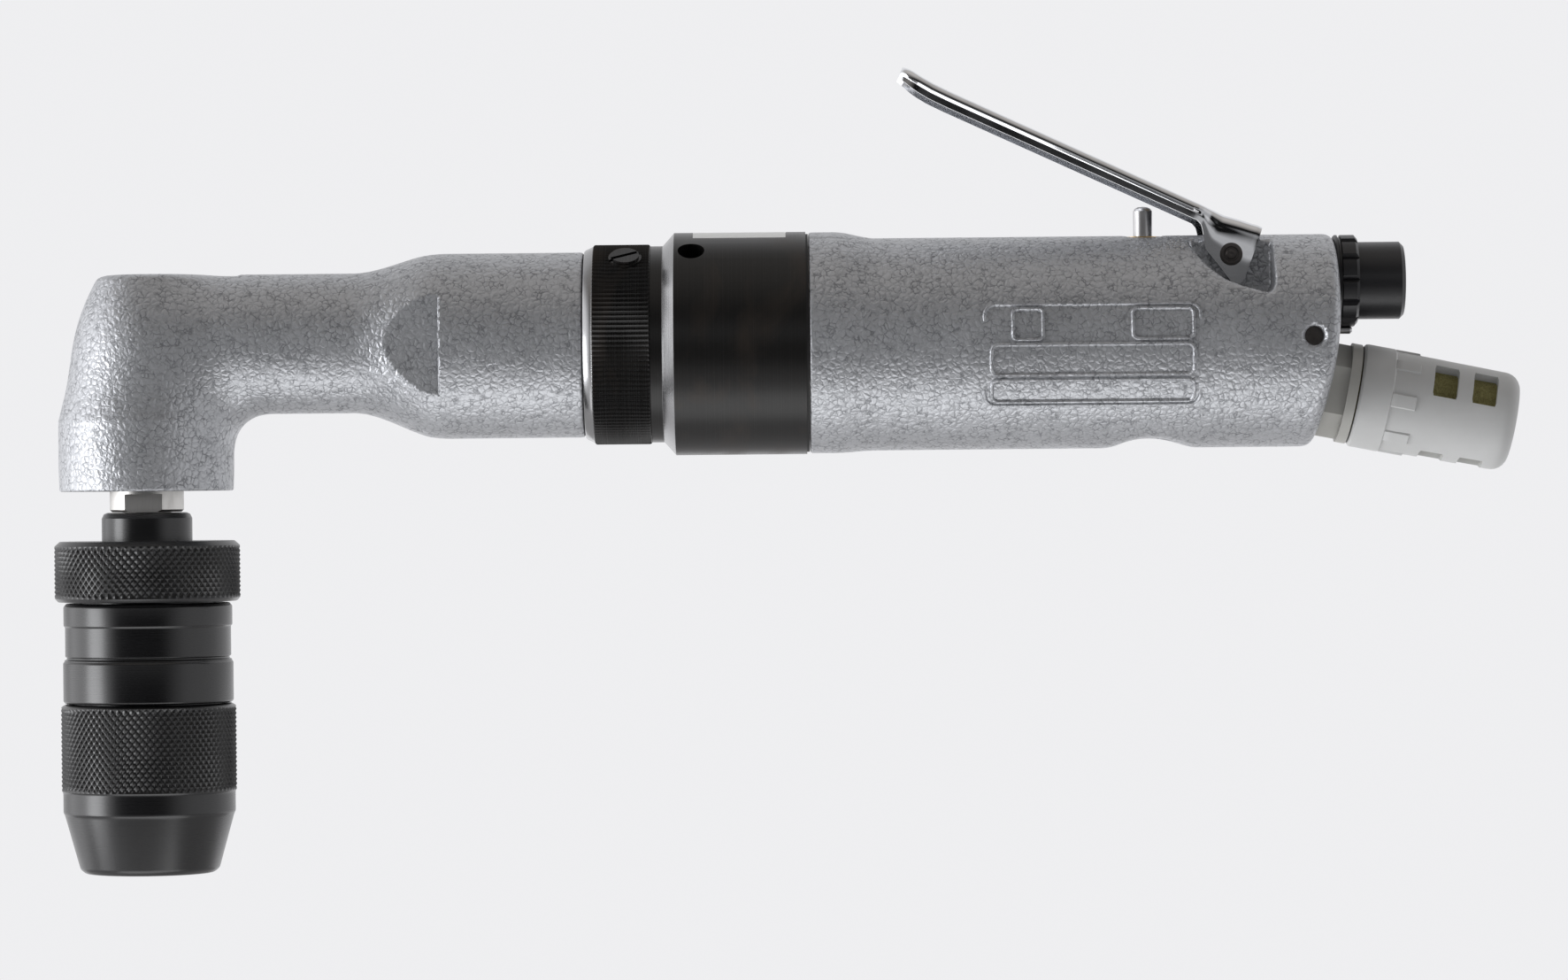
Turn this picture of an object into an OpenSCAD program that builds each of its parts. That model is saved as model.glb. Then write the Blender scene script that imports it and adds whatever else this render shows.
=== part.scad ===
// Pneumatic right-angle drill with a throttle lever and a keyless chuck.
// Origin: centre of the gear case on the motor axis. +X runs to the air inlet, +Z to the lever,
// the chuck hangs down along -Z from the angle head.

/* [Overall] */
// distance from the gear case centre to the spindle axis
head_reach = 123.5; // [110:0.5:150]
// radius of the gear case
case_r = 23; // [21:0.1:28]
// x of the upper rear face of the motor housing
rear_x = 122.5; // [118:0.5:150]

/* [Angle head] */
// radius of the spindle barrel
barrel_r = 18.1; // [16.5:0.1:22]
// top of the barrel above the motor axis
head_top = 15.2; // [15:0.1:20]
// bottom face of the barrel below the motor axis
head_drop = 29.4; // [28:0.1:36]
// radius of the slim neck
neck_r = 14.4; // [13.5:0.1:17]
// how far the neck centre sits above the motor axis
neck_lift = 0.9; // [0:0.1:1.5]
// radius of the wide body behind the neck
head_body_r = 19.45; // [18.5:0.05:21]
// half width across the wrench flats
flat_half = 16; // [15:0.1:19]

/* [Clamp nut] */
// radius over the knurl of the clamp nut
nut_r = 20.65; // [20:0.05:23]
// length of the clamp nut
nut_len = 13.8; // [12.5:0.1:18]
// number of knurl ridges around the nut
nut_ridges = 130; // [60:2:180]
// radius of the lock screw head
screw_head_r = 3.4; // [2.5:0.1:4]

/* [Gears] */
// module of the planetary gears
gear_module = 0.8; // [0.7:0.01:0.85]
// teeth on the sun pinion
sun_teeth = 9; // [9:3:12]
// teeth on each planet
planet_teeth = 18; // [18:3:18]
// module of the bevel pair
bevel_module = 1.1; // [0.9:0.05:1.15]
// teeth on the bevel pinion
pinion_teeth = 15; // [12:1:18]
// teeth on the bevel gear
bevel_teeth = 18; // [15:1:20]

/* [Motor housing] */
// radius of the grip
grip_r = 21.95; // [21.2:0.05:26]
// radius of the collar at the gear case
collar_r = 22.85; // [22:0.05:27]
// outer radius of the cylinder liner
liner_r = 19; // [17.5:0.1:19.3]
// radius of the rotor
rotor_r = 13.5; // [12:0.1:13.8]
// length of the rotor chamber
chamber_len = 51.6; // [40:0.2:53]
// number of vanes
vane_count = 5; // [3:1:6]

/* [Throttle] */
// x of the valve pin
valve_x = 83.3; // [82:0.1:90]
// radius of the valve pin
valve_pin_r = 1.95; // [1.5:0.05:2.2]
// height of the domed end of the valve pin
valve_top = 27.5; // [26:0.1:29]
// x of the lever pivot
pivot_x = 100.9; // [98:0.1:103]
// height of the lever pivot
pivot_z = 17.2; // [16:0.1:18]
// rest angle of the lever over the grip
lever_angle = 24.75; // [20:0.25:30]
// length of the lever from the pivot to the tip
lever_len = 78.5; // [60:0.5:95]
// thickness of the lever sheet
lever_sheet = 1.3; // [1:0.1:2]
// half width of the lug between the lever cheeks
lug_half = 7.65; // [6:0.05:9]

/* [Air fittings] */
// height of the air inlet axis
inlet_z = 11.8; // [10:0.1:13]
// radius of the notched inlet ring
inlet_ring_r = 9.5; // [9:0.1:12]
// radius of the inlet nipple
nipple_r = 8; // [7.5:0.1:10]
// length of the inlet nipple behind the ring
nipple_len = 9.7; // [8:0.1:16]
// radius of the muffler body
muffler_r = 10.7; // [9:0.05:13]
// length of the muffler body
muffler_len = 35; // [32:0.5:50]
// downward tilt of the muffler
muffler_tilt = 11; // [5:0.5:15]

/* [Chuck] */
// radius of the upper grip ring
grip_ring_r = 19.2; // [18:0.1:23]
// radius of the hood
hood_r = 18.1; // [17.6:0.1:22]
// length of the hood below the sleeve
hood_len = 35; // [34:0.5:42]
// slope of the jaws from the spindle axis
jaw_slope = 18; // [15:0.5:20]
// largest drill radius the open jaws take
jaw_open = 5; // [4:0.1:6]
// radial closing travel of each jaw
jaw_travel = 4.5; // [3:0.1:4.6]

/* [Clearances] */
// radial clearance of a shaft turning in its bore
run_fit = 0.05; // [0.02:0.01:0.1]
// radial clearance of a piece seated in its bore
seat_fit = 0.02; // [0:0.01:0.05]
// air gap between pieces that move past each other
air_gap = 0.3; // [0.2:0.05:0.5]

/* [Hidden] */
$fn = 96;
head_x = -head_reach;
case_half = 13.4;
case_edge = -13.7;
nut_back = -18.55;
nut_front = nut_back - nut_len + 0.05;
nut_lip = 3.2;
spigot_r = nut_r - 4.65;
flange_r = nut_r - 3.25;
nose_r = nut_r - 2.8;
nose_front = nut_front + nut_lip + 2.3 + 2 * air_gap;
pilot_r = nose_r - 2.8 - run_fit;
body_back = nut_front - 0.1;
gasket_end = case_half + 0.5;
housing_front = gasket_end + 0.05;
collar_end = housing_front + 5.2;
grip_z = -0.45;
rear_drop_z = -0.6;
rear_slant = 12.5;
plate_r = case_r - 2.6;
plate_front = 7.5;
plate_back = 16;
chamber_front = plate_back;
chamber_back = chamber_front + chamber_len;
bore_back = chamber_back + 8.7;
liner_wall = 3.4;
liner_shift = liner_r - liner_wall - rotor_r - 0.5;
ring_teeth = sun_teeth + 2 * planet_teeth;
planet_orbit = gear_module * (sun_teeth + planet_teeth) / 2;
planet_r = gear_module * planet_teeth / 2;
sun_r = gear_module * sun_teeth / 2;
ring_r = gear_module * ring_teeth / 2;
planet_front = -6.3;
planet_back = 2;
planet_phase = 90;
ring_front = -7;
ring_back = 3;
carrier_hub_r = 7;
carrier_plate_r = planet_orbit + 4.7;
carrier_bearing_r = 14;
bearing_front = -19.8;
bearing_back = -13.8;
shaft_r = 4;
pinion_cone = bevel_module * bevel_teeth / 2;
gear_cone = bevel_module * pinion_teeth / 2;
bevel_face = 0.4;
pinion_back_x = head_x + pinion_cone;
front_race_x = head_x + 21.5;
rear_race_x = -60;
race_len = 7;
race_r = neck_r - 3.4;
spindle_r = 7.65;
spindle_race_r = barrel_r - 4.1;
journal_r = 3;
bush_r = 5;
bush_foot = 6.5;
bush_top = head_top - 2.2;
race_top = -14;
race_foot = -21;
nose_end = -head_drop - 4.3;
thread_r = 5;
thread_end = nose_end - 10.3;
hub_top = -head_drop - 4.4;
ring_top = hub_top - 5.9;
ring_foot = ring_top - 12.5;
sleeve_top = ring_foot - air_gap;
sleeve_foot = sleeve_top - 20.6;
hood_top = sleeve_foot - 0.2;
hood_foot = hood_top - hood_len;
spigot_foot = sleeve_foot + 1.1;
chuck_spigot_r = grip_ring_r - 5.7;
sleeve_bore_r = chuck_spigot_r + 0.1;
hood_spigot_r = sleeve_bore_r + 1.8;
screw_r = 8.9;
mouth_r = jaw_open + 3.2;
guide_r = 11;
guide_top = spigot_foot - 5;
guide_foot = guide_top - 5;
screw_top = thread_end - 3;
jaw_top = guide_foot - 0.2;
jaw_foot = hood_foot + 3.8;
cavity_r = hood_r - 3.1;
hook_in = 8.2;
slot_in = hook_in - jaw_travel - air_gap;
valve_seat_z = 12.5;
valve_bore_r = 6;
groove_depth = 2;
muffler_x = rear_x + 3;
muffler_z = -11.5;

silver = [0.66, 0.67, 0.68];
steel = [0.72, 0.72, 0.74];
bright = [0.85, 0.85, 0.87];
black = [0.13, 0.12, 0.12];
brass = [0.75, 0.6, 0.3];
grey = [0.45, 0.46, 0.47];

// helpers

// cylinder along X from x0 to x1
module rod_x(x0, x1, r) {
  translate([x0, 0, 0]) rotate([0, 90, 0]) cylinder(r = r, h = x1 - x0);
}

// solid of revolution about X from [x, radius] pairs
module turn_x(points) {
  rotate([0, 90, 0]) rotate_extrude() polygon([for (p = points) [p[1], p[0]]]);
}

// solid of revolution about the spindle axis from [radius, z] pairs
module turn_z(points) {
  translate([head_x, 0, 0]) rotate_extrude() polygon(points);
}

// cylinder on the spindle axis from z0 up to z1
module rod_z(z0, z1, r) {
  translate([head_x, 0, z0]) cylinder(r = r, h = z1 - z0);
}

// outline in the X-Z plane given a thickness along Y, from y0 to y1
module slab_y(points, y0, y1) {
  translate([0, y1, 0]) rotate([90, 0, 0]) linear_extrude(y1 - y0) polygon(points);
}

// ring between two radii, along X
module ring_x(x0, x1, outer, inner) {
  difference() {
    rod_x(x0, x1, outer);
    rod_x(x0 - 1, x1 + 1, inner);
  }
}

// ring between two radii, on the spindle axis
module ring_z(z0, z1, outer, inner) {
  difference() {
    rod_z(z0, z1, outer);
    rod_z(z0 - 1, z1 + 1, inner);
  }
}

// points of a toothed outline: root and tip radius, half angles of a tooth at root and tip
function teeth(n, root, tip, wide, narrow, turn = 0) = [for (i = [0:n - 1])
  for (p = [[root, -wide], [tip, -narrow], [tip, narrow], [root, wide]])
    p[0] * [cos(360 * i / n + p[1] + turn), sin(360 * i / n + p[1] + turn)]];

// places a shape on the muffler axis, its Z pointing out of the tool
module on_muffler() {
  translate([muffler_x, 0, muffler_z]) rotate([0, 90 + muffler_tilt, 0]) children();
}

// places a shape in the lever frame: X along the lever to its tip, Z away from the grip
module on_lever() {
  translate([pivot_x, 0, pivot_z]) rotate([0, lever_angle, 0]) mirror([1, 0, 0]) children();
}

// angle head, turning in the clamp nut

module angle_head() {
  color(silver) difference() {
    union() {
      turn_z([[0, -head_drop], [barrel_r - 0.5, -head_drop], [barrel_r, -head_drop + 0.5],
        [barrel_r, -14.8], [9.4, head_top - 1.9], [8.6, head_top - 0.6], [7.4, head_top],
        [0, head_top]]);
      translate([0, 0, neck_lift]) turn_x([[head_x, 0], [head_x, neck_r - 1.3],
        [head_x + 12, neck_r], [-79, neck_r], [-79, 0]]);
      turn_x([[-86, 0], [-86, neck_r - 1], [-80, neck_r + 0.2], [-76.5, neck_r + 0.9],
        [-72.9, neck_r + 1.7], [-69.1, neck_r + 2.9], [-65.5, neck_r + 4.1], [-62, head_body_r],
        [body_back - 0.4, head_body_r], [body_back, head_body_r - 0.4], [body_back, spigot_r],
        [nut_front + nut_lip + air_gap, spigot_r], [nut_front + nut_lip + air_gap, flange_r],
        [nose_front - air_gap, flange_r], [nose_front - air_gap, pilot_r], [-20, pilot_r],
        [-20, 0]]);
    }
    for (side = [-1, 1])
      translate([-75, side > 0 ? flat_half : -flat_half - 10, -15]) cube([13.2, 10, 30]);
    rod_z(-head_drop - 1, race_top, spindle_race_r + seat_fit);
    turn_z([[0, race_top - 1], [spindle_race_r - 1, race_top - 1], [spindle_race_r - 1.2, -8],
      [6.6, bush_foot - 1], [bush_r + seat_fit, bush_foot], [bush_r + seat_fit, bush_top],
      [0, bush_top]]);
    rod_x(head_x + 5, front_race_x + 1, race_r - 0.5);
    rod_x(front_race_x, rear_race_x + race_len, race_r + seat_fit);
    rod_x(rear_race_x + race_len - 0.01, -19, race_r + 2);
  }
}

module bearing_cap() {
  color(steel) difference() {
    rod_z(-head_drop + 0.4, race_foot, spindle_race_r);
    rod_z(-head_drop - 1, race_foot + 1, spindle_r + air_gap);
    for (side = [-1, 1])
      translate([head_x + side * (spindle_race_r + spindle_r) / 2, 0, -head_drop - 1])
        cylinder(r = 1.25, h = 4);
  }
}

module spindle_bearing() {
  color(bright) ring_z(race_foot, race_top, spindle_race_r, spindle_r + run_fit);
}

module spindle_top_bush() {
  color(brass) ring_z(bush_foot, bush_top - 0.1, bush_r, journal_r + run_fit);
}

module pinion_bearing_front() {
  color(bright) ring_x(front_race_x, front_race_x + race_len, race_r, shaft_r + run_fit);
}

module pinion_bearing_rear() {
  color(bright) ring_x(rear_race_x, rear_race_x + race_len, race_r, shaft_r + run_fit);
}

module bearing_spacer() {
  color(steel) ring_x(front_race_x + race_len, rear_race_x, race_r - 0.02, race_r - 2);
}

module bearing_nut() {
  color(steel) ring_x(rear_race_x + race_len, rear_race_x + race_len + 4.5, race_r + 1.98,
    shaft_r + 1.5);
}

// spindle and the turning half of the chuck

module spindle() {
  color(bright) difference() {
    turn_z([[0, thread_end], [thread_r, thread_end], [thread_r, nose_end],
      [spindle_r - 0.5, nose_end], [spindle_r, nose_end + 0.5], [spindle_r, race_top + 0.8],
      [4.5, race_top + 0.8], [4.5, -gear_cone * (1 - bevel_face) + 0.3],
      [journal_r, -gear_cone * (1 - bevel_face) + 0.6], [journal_r, bush_top - 0.9],
      [journal_r - 0.4, bush_top - 0.5], [0, bush_top - 0.5]]);
    for (side = [-1, 1])
      translate([head_x - 10, side > 0 ? 6.6 : -16.6, nose_end - 0.1]) cube([20, 10, 3.8]);
  }
}

module bevel_gear() {
  tip = pinion_cone + 1.9;
  root = pinion_cone - 1.9;
  color(steel) difference() {
    union() {
      rod_z(race_top + 0.8, -gear_cone, 8.4);
      translate([head_x, 0, -gear_cone]) linear_extrude(gear_cone * bevel_face,
        scale = 1 - bevel_face) polygon(teeth(bevel_teeth, root, tip, 6, 2.4,
        180 / bevel_teeth));
    }
    rod_z(race_top - 1, 0, 4.5 + seat_fit);
  }
}

module chuck_body() {
  color(black) difference() {
    turn_z([[0, spigot_foot], [chuck_spigot_r, spigot_foot], [chuck_spigot_r, ring_foot],
      [chuck_spigot_r + 1, ring_foot], [chuck_spigot_r + 1, ring_top], [9.35, ring_top],
      [9.35, hub_top - 1.2], [8.9, hub_top - 0.3], [8.2, hub_top], [0, hub_top]]);
    rod_z(thread_end - 0.5, hub_top + 1, thread_r + seat_fit);
    rod_z(nose_end - 0.02, hub_top + 1, spindle_r + seat_fit);
    rod_z(spigot_foot - 1, screw_top + 1, screw_r + run_fit);
  }
}

module chuck_grip_ring() {
  inner = chuck_spigot_r + 1 + seat_fit;
  color(black) turn_z([[inner, ring_foot], [grip_ring_r - 0.7, ring_foot],
    [grip_ring_r, ring_foot + 0.7], [grip_ring_r, ring_top - 0.9],
    [grip_ring_r - 0.9, ring_top], [inner, ring_top]]);
}

// hood of the chuck: turned by hand, it drives the jaws down its cone

module chuck_sleeve() {
  inner = sleeve_bore_r;
  seat = hood_spigot_r + seat_fit;
  color(black) turn_z([[inner, sleeve_top], [hood_r - 1.2, sleeve_top],
    [hood_r - 0.7, sleeve_top - 0.5], [hood_r - 0.7, sleeve_top - 4.5],
    [hood_r - 1, sleeve_top - 4.8], [hood_r - 1, sleeve_top - 11.5],
    [hood_r - 1.3, sleeve_top - 11.8], [hood_r - 0.55, sleeve_top - 12.3],
    [hood_r - 0.55, sleeve_foot + 0.3], [hood_r - 0.8, sleeve_foot], [seat, sleeve_foot],
    [seat, sleeve_foot + 7.2], [inner, sleeve_foot + 7.2]]);
}

module chuck_hood() {
  cone_top = hood_foot + (cavity_r - mouth_r) / tan(jaw_slope);
  low = hood_foot + 12.4;
  color(black) turn_z([[mouth_r, hood_foot], [hood_r - 4.6, hood_foot],
    [hood_r - 3.95, hood_foot + 0.4], [hood_r - 3.75, hood_foot + 1.3],
    [hood_r - 0.75, low], [hood_r - 0.35, low + 0.4], [hood_r - 0.35, hood_foot + 17.1],
    [hood_r, hood_foot + 17.4], [hood_r, hood_top - 0.5], [hood_r - 0.5, hood_top],
    [hood_spigot_r, hood_top], [hood_spigot_r, sleeve_foot + 7],
    [sleeve_bore_r, sleeve_foot + 7], [sleeve_bore_r, hood_top - 2],
    [cavity_r, hood_top - 3.6], [cavity_r, cone_top]]);
}

// screw that turns with the hood and climbs in the chuck body; its foot carries the jaws
module chuck_feed_screw() {
  color(steel) difference() {
    union() {
      rod_z(guide_top, screw_top, screw_r);
      rod_z(guide_foot, guide_top, guide_r);
    }
    for (k = [0:2])
      translate([head_x, 0, guide_foot - 1]) rotate([0, 0, 120 * k]) union() {
        translate([slot_in, -2.3, 0]) cube([10, 4.6, 3.3]);
        translate([slot_in, -3.8, 2.4]) cube([10, 7.6, 2.4]);
      }
  }
}

// jaw for the direction 120 degrees times k: a slanted round bar cut to three flanks
module jaw(k) {
  bar = 5.2;
  lift = (jaw_foot - hood_foot) * tan(jaw_slope);
  color(steel) translate([head_x, 0, 0]) rotate([0, 0, 120 * k]) union() {
    intersection() {
      translate([mouth_r + lift - (0.1 + bar) / cos(jaw_slope), 0, jaw_foot])
        rotate([0, jaw_slope, 0]) translate([0, 0, -20]) cylinder(r = bar, h = 80);
      translate([0, 0, jaw_foot]) linear_extrude(jaw_top - jaw_foot)
        polygon([[jaw_open, -0.8], [jaw_open, 0.8], [jaw_open + 9, 15.2], [20, 15.2],
          [20, -15.2], [jaw_open + 9, -15.2]]);
      translate([0, 0, jaw_foot]) cylinder(r = cavity_r - 0.4, h = jaw_top - jaw_foot);
    }
    translate([hook_in, -2.05, jaw_top - 0.1]) cube([2.4, 4.1, 3.2]);
    translate([hook_in, -3.5, guide_foot + 1.7]) cube([2.4, 7, 1.8]);
  }
}

module jaw_1() {
  jaw(0);
}

module jaw_2() {
  jaw(1);
}

module jaw_3() {
  jaw(2);
}

// bevel pinion on its shaft

module bevel_pinion() {
  tip = gear_cone + 1.54;
  root = gear_cone - 1.65;
  color(steel) union() {
    translate([pinion_back_x, 0, 0]) rotate([0, -90, 0])
      linear_extrude(pinion_cone * bevel_face, scale = 1 - bevel_face)
        polygon(teeth(pinion_teeth, root, tip, 7.4, 2.8, 180));
    rod_x(pinion_back_x, front_race_x - 0.5, 7);
    rod_x(front_race_x - 1, -15, shaft_r);
  }
}

// clamp nut and gear case

module clamp_nut() {
  step = 360 / nut_ridges;
  color(steel) difference() {
    union() {
      turn_x([[nut_front, 0], [nut_front, nut_r - 1], [nut_front + 1.8, nut_r - 0.3],
        [nut_front + 1.8, 0]]);
      turn_x([[nut_front + 1.7, 0], [nut_front + 1.7, nut_r - 0.45],
        [nut_back, nut_r - 0.45], [nut_back, 0]]);
      intersection() {
        translate([nut_front + 1.9, 0, 0]) rotate([0, 90, 0])
          linear_extrude(nut_len - 2.3) polygon(teeth(nut_ridges, nut_r - 0.6, nut_r,
          step * 0.46, step * 0.1));
        rod_x(nut_front, nut_back, nut_r);
      }
    }
    rod_x(nut_front - 1, nut_front + nut_lip + 0.1, spigot_r + run_fit * 2);
    rod_x(nut_front + nut_lip, nut_back + 1, nose_r + run_fit);
    on_lock_screw() cylinder(r = 2 + seat_fit, h = 30);
    on_lock_screw() translate([0, 0, nut_r - 0.9]) cylinder(r = screw_head_r + 0.25, h = 5);
  }
}

// radial line of the lock screw, Z pointing outwards from the motor axis
module on_lock_screw() {
  translate([nut_back - 5.15, 0, 0]) rotate([32.5, 0, 0]) children();
}

module nut_screw() {
  color(bright) on_lock_screw() difference() {
    union() {
      translate([0, 0, nose_r - 1.6]) cylinder(r = 2, h = nut_r - nose_r + 1);
      translate([0, 0, nut_r - 0.9]) cylinder(r = screw_head_r, h = 1.2);
      translate([0, 0, nut_r + 0.3]) cylinder(r = screw_head_r - 0.5, h = 0.5);
    }
    rotate([0, 0, 25]) translate([-5, -0.45, nut_r - 0.1]) cube([10, 0.9, 3]);
  }
}

module gear_case() {
  neck = case_r - 2.7;
  color(black) difference() {
    turn_x([[nose_front, 0], [nose_front, nose_r], [nut_back, nose_r], [nut_back, neck],
      [case_edge - 2.4, neck], [case_edge, case_r], [case_half, case_r], [case_half, 0]]);
    rod_x(nose_front - 1, bearing_front, pilot_r + run_fit);
    rod_x(bearing_front - 0.1, case_edge + 0.1, carrier_bearing_r + seat_fit);
    rod_x(case_edge, ring_front, carrier_plate_r + 0.7);
    rod_x(ring_front - 0.02, case_half + 1, plate_r);
    intersection() {
      ring_x(-9.9, 9.4, case_r + 1, case_r - 0.14);
      slab_y([[-20, 0], [20, 0], [20, 40], [-20, 40]], -8, 8);
    }
    on_lock_screw() translate([0, 0, nose_r - 1.7]) cylinder(r = 2 + seat_fit, h = 5);
    for (turn = [35, 215])
      translate([-10.1, 0, 0]) rotate([turn, 0, 0])
        translate([0, 0, case_r - 4.2]) cylinder(r = 2.75, h = 8);
  }
}

module case_sticker() {
  color([0.95, 0.95, 0.93]) intersection() {
    ring_x(-9.8, 9.3, case_r - 0.02, case_r - 0.14);
    slab_y([[-20, 0], [20, 0], [20, 40], [-20, 40]], -7.9, 7.9);
  }
}

module case_gasket() {
  color([0.2, 0.2, 0.19]) ring_x(case_half, gasket_end, case_r - 0.45, plate_r);
}

module ring_gear() {
  color(steel) difference() {
    rod_x(ring_front, ring_back, plate_r - seat_fit);
    translate([ring_front - 1, 0, 0]) rotate([0, 90, 0]) linear_extrude(ring_back - ring_front + 2)
      rotate([0, 0, 180]) polygon(teeth(ring_teeth, ring_r + 0.95, ring_r - 0.65, 1.9, 1));
  }
}

module carrier_bearing() {
  color(bright) ring_x(bearing_front, bearing_back, carrier_bearing_r, carrier_hub_r + run_fit);
}

// planetary stage

// places a shape on the axis of planet k, its Z pointing to the air inlet
module on_planet(k) {
  rotate([120 * k, 0, 0]) translate([0, 0, planet_orbit]) rotate([0, 90, 0]) children();
}

module planet_carrier() {
  color(steel) difference() {
    union() {
      rod_x(-26, bearing_back + 1, carrier_hub_r);
      rod_x(bearing_back + 0.9, planet_front - air_gap, carrier_plate_r);
    }
    rod_x(-27, -14, shaft_r + run_fit);
    for (k = [0:2])
      on_planet(k) translate([0, 0, -13.2]) cylinder(r = 2.5, h = 10);
  }
}

module planet_pins() {
  color(bright) for (k = [0:2])
    on_planet(k) union() {
      translate([0, 0, bearing_back + 1]) cylinder(r = 2.5, h = planet_back + air_gap - bearing_back - 1);
      translate([0, 0, planet_back + air_gap]) cylinder(r = 3.6, h = 1);
    }
}

// planet: a gap of its teeth faces both the sun and the ring
module planet(k) {
  color(steel) on_planet(k) difference() {
    translate([0, 0, planet_front]) linear_extrude(planet_back - planet_front)
      polygon(teeth(planet_teeth, planet_r - 0.95, planet_r + 0.65, 5.6, 2.2, 180 / planet_teeth));
    translate([0, 0, planet_front - 1]) cylinder(r = 2.5 + run_fit, h = 20);
  }
}

module planet_gear_1() {
  planet(0);
}

module planet_gear_2() {
  planet(1);
}

module planet_gear_3() {
  planet(2);
}

// vane motor

module rotor() {
  color(steel) difference() {
    union() {
      translate([planet_front, 0, 0]) rotate([0, 90, 0]) linear_extrude(planet_back + 3 - planet_front)
        rotate([0, 0, 180]) polygon(teeth(sun_teeth, sun_r - 0.95, sun_r + 0.7, 11, 4));
      rod_x(planet_back + 2.5, chamber_front + 0.5, 4.5);
      rod_x(chamber_front + air_gap, chamber_back - air_gap, rotor_r);
      rod_x(chamber_back - 0.5, bore_back - 0.4, shaft_r);
    }
    for (k = [0:vane_count - 1])
      rotate([360 * k / vane_count, 0, 0]) translate([chamber_front, -1.05, rotor_r - 6])
        cube([chamber_len, 2.1, 10]);
  }
}

module rotor_vanes() {
  color([0.45, 0.3, 0.16]) for (k = [0:vane_count - 1])
    rotate([360 * k / vane_count, 0, 0]) translate([chamber_front + 0.4, -1, rotor_r - 5.9])
      cube([chamber_len - 0.8, 2, 6]);
}

module cylinder_liner() {
  color(steel) difference() {
    rod_x(chamber_front, chamber_back, liner_r);
    translate([0, 0, liner_shift]) rod_x(chamber_front - 1, chamber_back + 1, liner_r - liner_wall);
  }
}

module front_end_plate() {
  color(steel) difference() {
    rod_x(plate_front, plate_back, plate_r - 0.1);
    rod_x(plate_front - 1, plate_back, 5.5);
    rod_x(plate_front + 1.5, plate_back + 1, 9 + seat_fit);
  }
}

module front_bearing() {
  color(bright) ring_x(plate_front + 1.5, plate_back - 0.5, 9, 4.5 + run_fit);
}

module rear_end_plate() {
  color(steel) difference() {
    rod_x(chamber_back, bore_back - 0.3, liner_r);
    rod_x(chamber_back - 1, bore_back, 5);
    rod_x(chamber_back + 2, bore_back, 8 + seat_fit);
    translate([0, 0, liner_r - 4]) rod_x(chamber_back - 1, bore_back, 1.6);
    for (side = [-1, 1])
      translate([0, side * 10, -9.5]) rod_x(chamber_back - 1, bore_back, 2.6);
  }
}

module rear_bearing() {
  color(bright) ring_x(chamber_back + 2, bore_back - 0.4, 8, shaft_r + run_fit);
}

// motor housing, the grip of the tool

module motor_housing() {
  side = grip_r + 6;
  color(silver) difference() {
    union() {
      turn_x([[housing_front, 0], [housing_front, collar_r - 0.3],
        [housing_front + 0.3, collar_r], [collar_end, collar_r],
        [collar_end + 3.3, collar_r - 0.4], [collar_end + 6.3, grip_r - 0.25],
        [collar_end + 8.8, grip_r - 0.45], [collar_end + 8.8, 0]]);
      translate([0, 0, grip_z]) turn_x([[collar_end + 3, 0], [collar_end + 3, grip_r - 0.4],
        [collar_end + 8.8, grip_r], [rear_x - 1.6, grip_r], [rear_x - 0.5, grip_r - 0.5],
        [rear_x, grip_r - 1.6], [rear_x, 0]]);
    }
    slab_y([[rear_x, rear_drop_z], [rear_x + 9, rear_drop_z], [rear_x + 9, -40],
      [rear_x - 39.4 * tan(rear_slant), -40]], -side, side);
    translate([valve_x + 1, side, grip_z - grip_r - 15.8 + groove_depth]) rotate([90, 0, 0])
      cylinder(r = 15.8, h = 2 * side);
    for (s = [-1, 1])
      slab_y([[pivot_x - 9.2, 20.2], [pivot_x - 7.4, 17], [pivot_x - 4.6, 13.9],
        [pivot_x - 1.6, 11.6], [pivot_x + 2, 10.2], [pivot_x + 7.5, 8.6], [pivot_x + 8.3, 9.4],
        [pivot_x + 8.3, 40], [pivot_x - 9.2, 40]], s > 0 ? lug_half : -side, s > 0 ? side : -lug_half);
    rod_x(housing_front - 1, plate_back + 0.1, plate_r);
    rod_x(plate_back, bore_back, liner_r + run_fit);
    translate([0, 0, liner_r - 4]) rod_x(bore_back - 1, valve_x, 1.6);
    for (s = [-1, 1])
      translate([0, s * 10, -9.5]) rod_x(bore_back - 1, valve_x + 21, 2.6);
    translate([valve_x, 0, -40]) cylinder(r = valve_bore_r, h = 40 + valve_seat_z + 2);
    translate([valve_x, 0, 0]) cylinder(r = 4.4, h = valve_seat_z + 4);
    translate([valve_x, 0, 0]) cylinder(r = 4.5 + seat_fit, h = 40);
    translate([0, 0, inlet_z - 3.8]) rod_x(valve_x, pivot_x + 4, 3.2);
    translate([0, 0, inlet_z]) rod_x(pivot_x + 3.5, rear_x + 1, 5);
    translate([0, 0, inlet_z]) rod_x(rear_x - 12.5, rear_x + 1, 6.6 + seat_fit);
    on_muffler() translate([0, 0, -28]) cylinder(r = 8, h = 19);
    on_muffler() translate([0, 0, -5.6]) cylinder(r = 10.6, h = 20);
    on_muffler() translate([0, 0, -15]) cylinder(r = 6.6 + seat_fit, h = 30);
    translate([pivot_x, side, pivot_z]) rotate([90, 0, 0]) cylinder(r = 1.6 + seat_fit, h = 2 * side);
    translate([rear_x - 5.7, -12, 0]) rotate([90, 0, 0]) cylinder(r = 1.92, h = side);
    translate([rear_x - 5.7, 0.45 - grip_r, 0]) rotate([90, 0, 0]) cylinder(r1 = 1.92, r2 = 2.92, h = 1);
    translate([0, 0, 1.65]) rod_x(rear_x - 12.5, rear_x + 5, 0.85 + seat_fit);
  }
}

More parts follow.
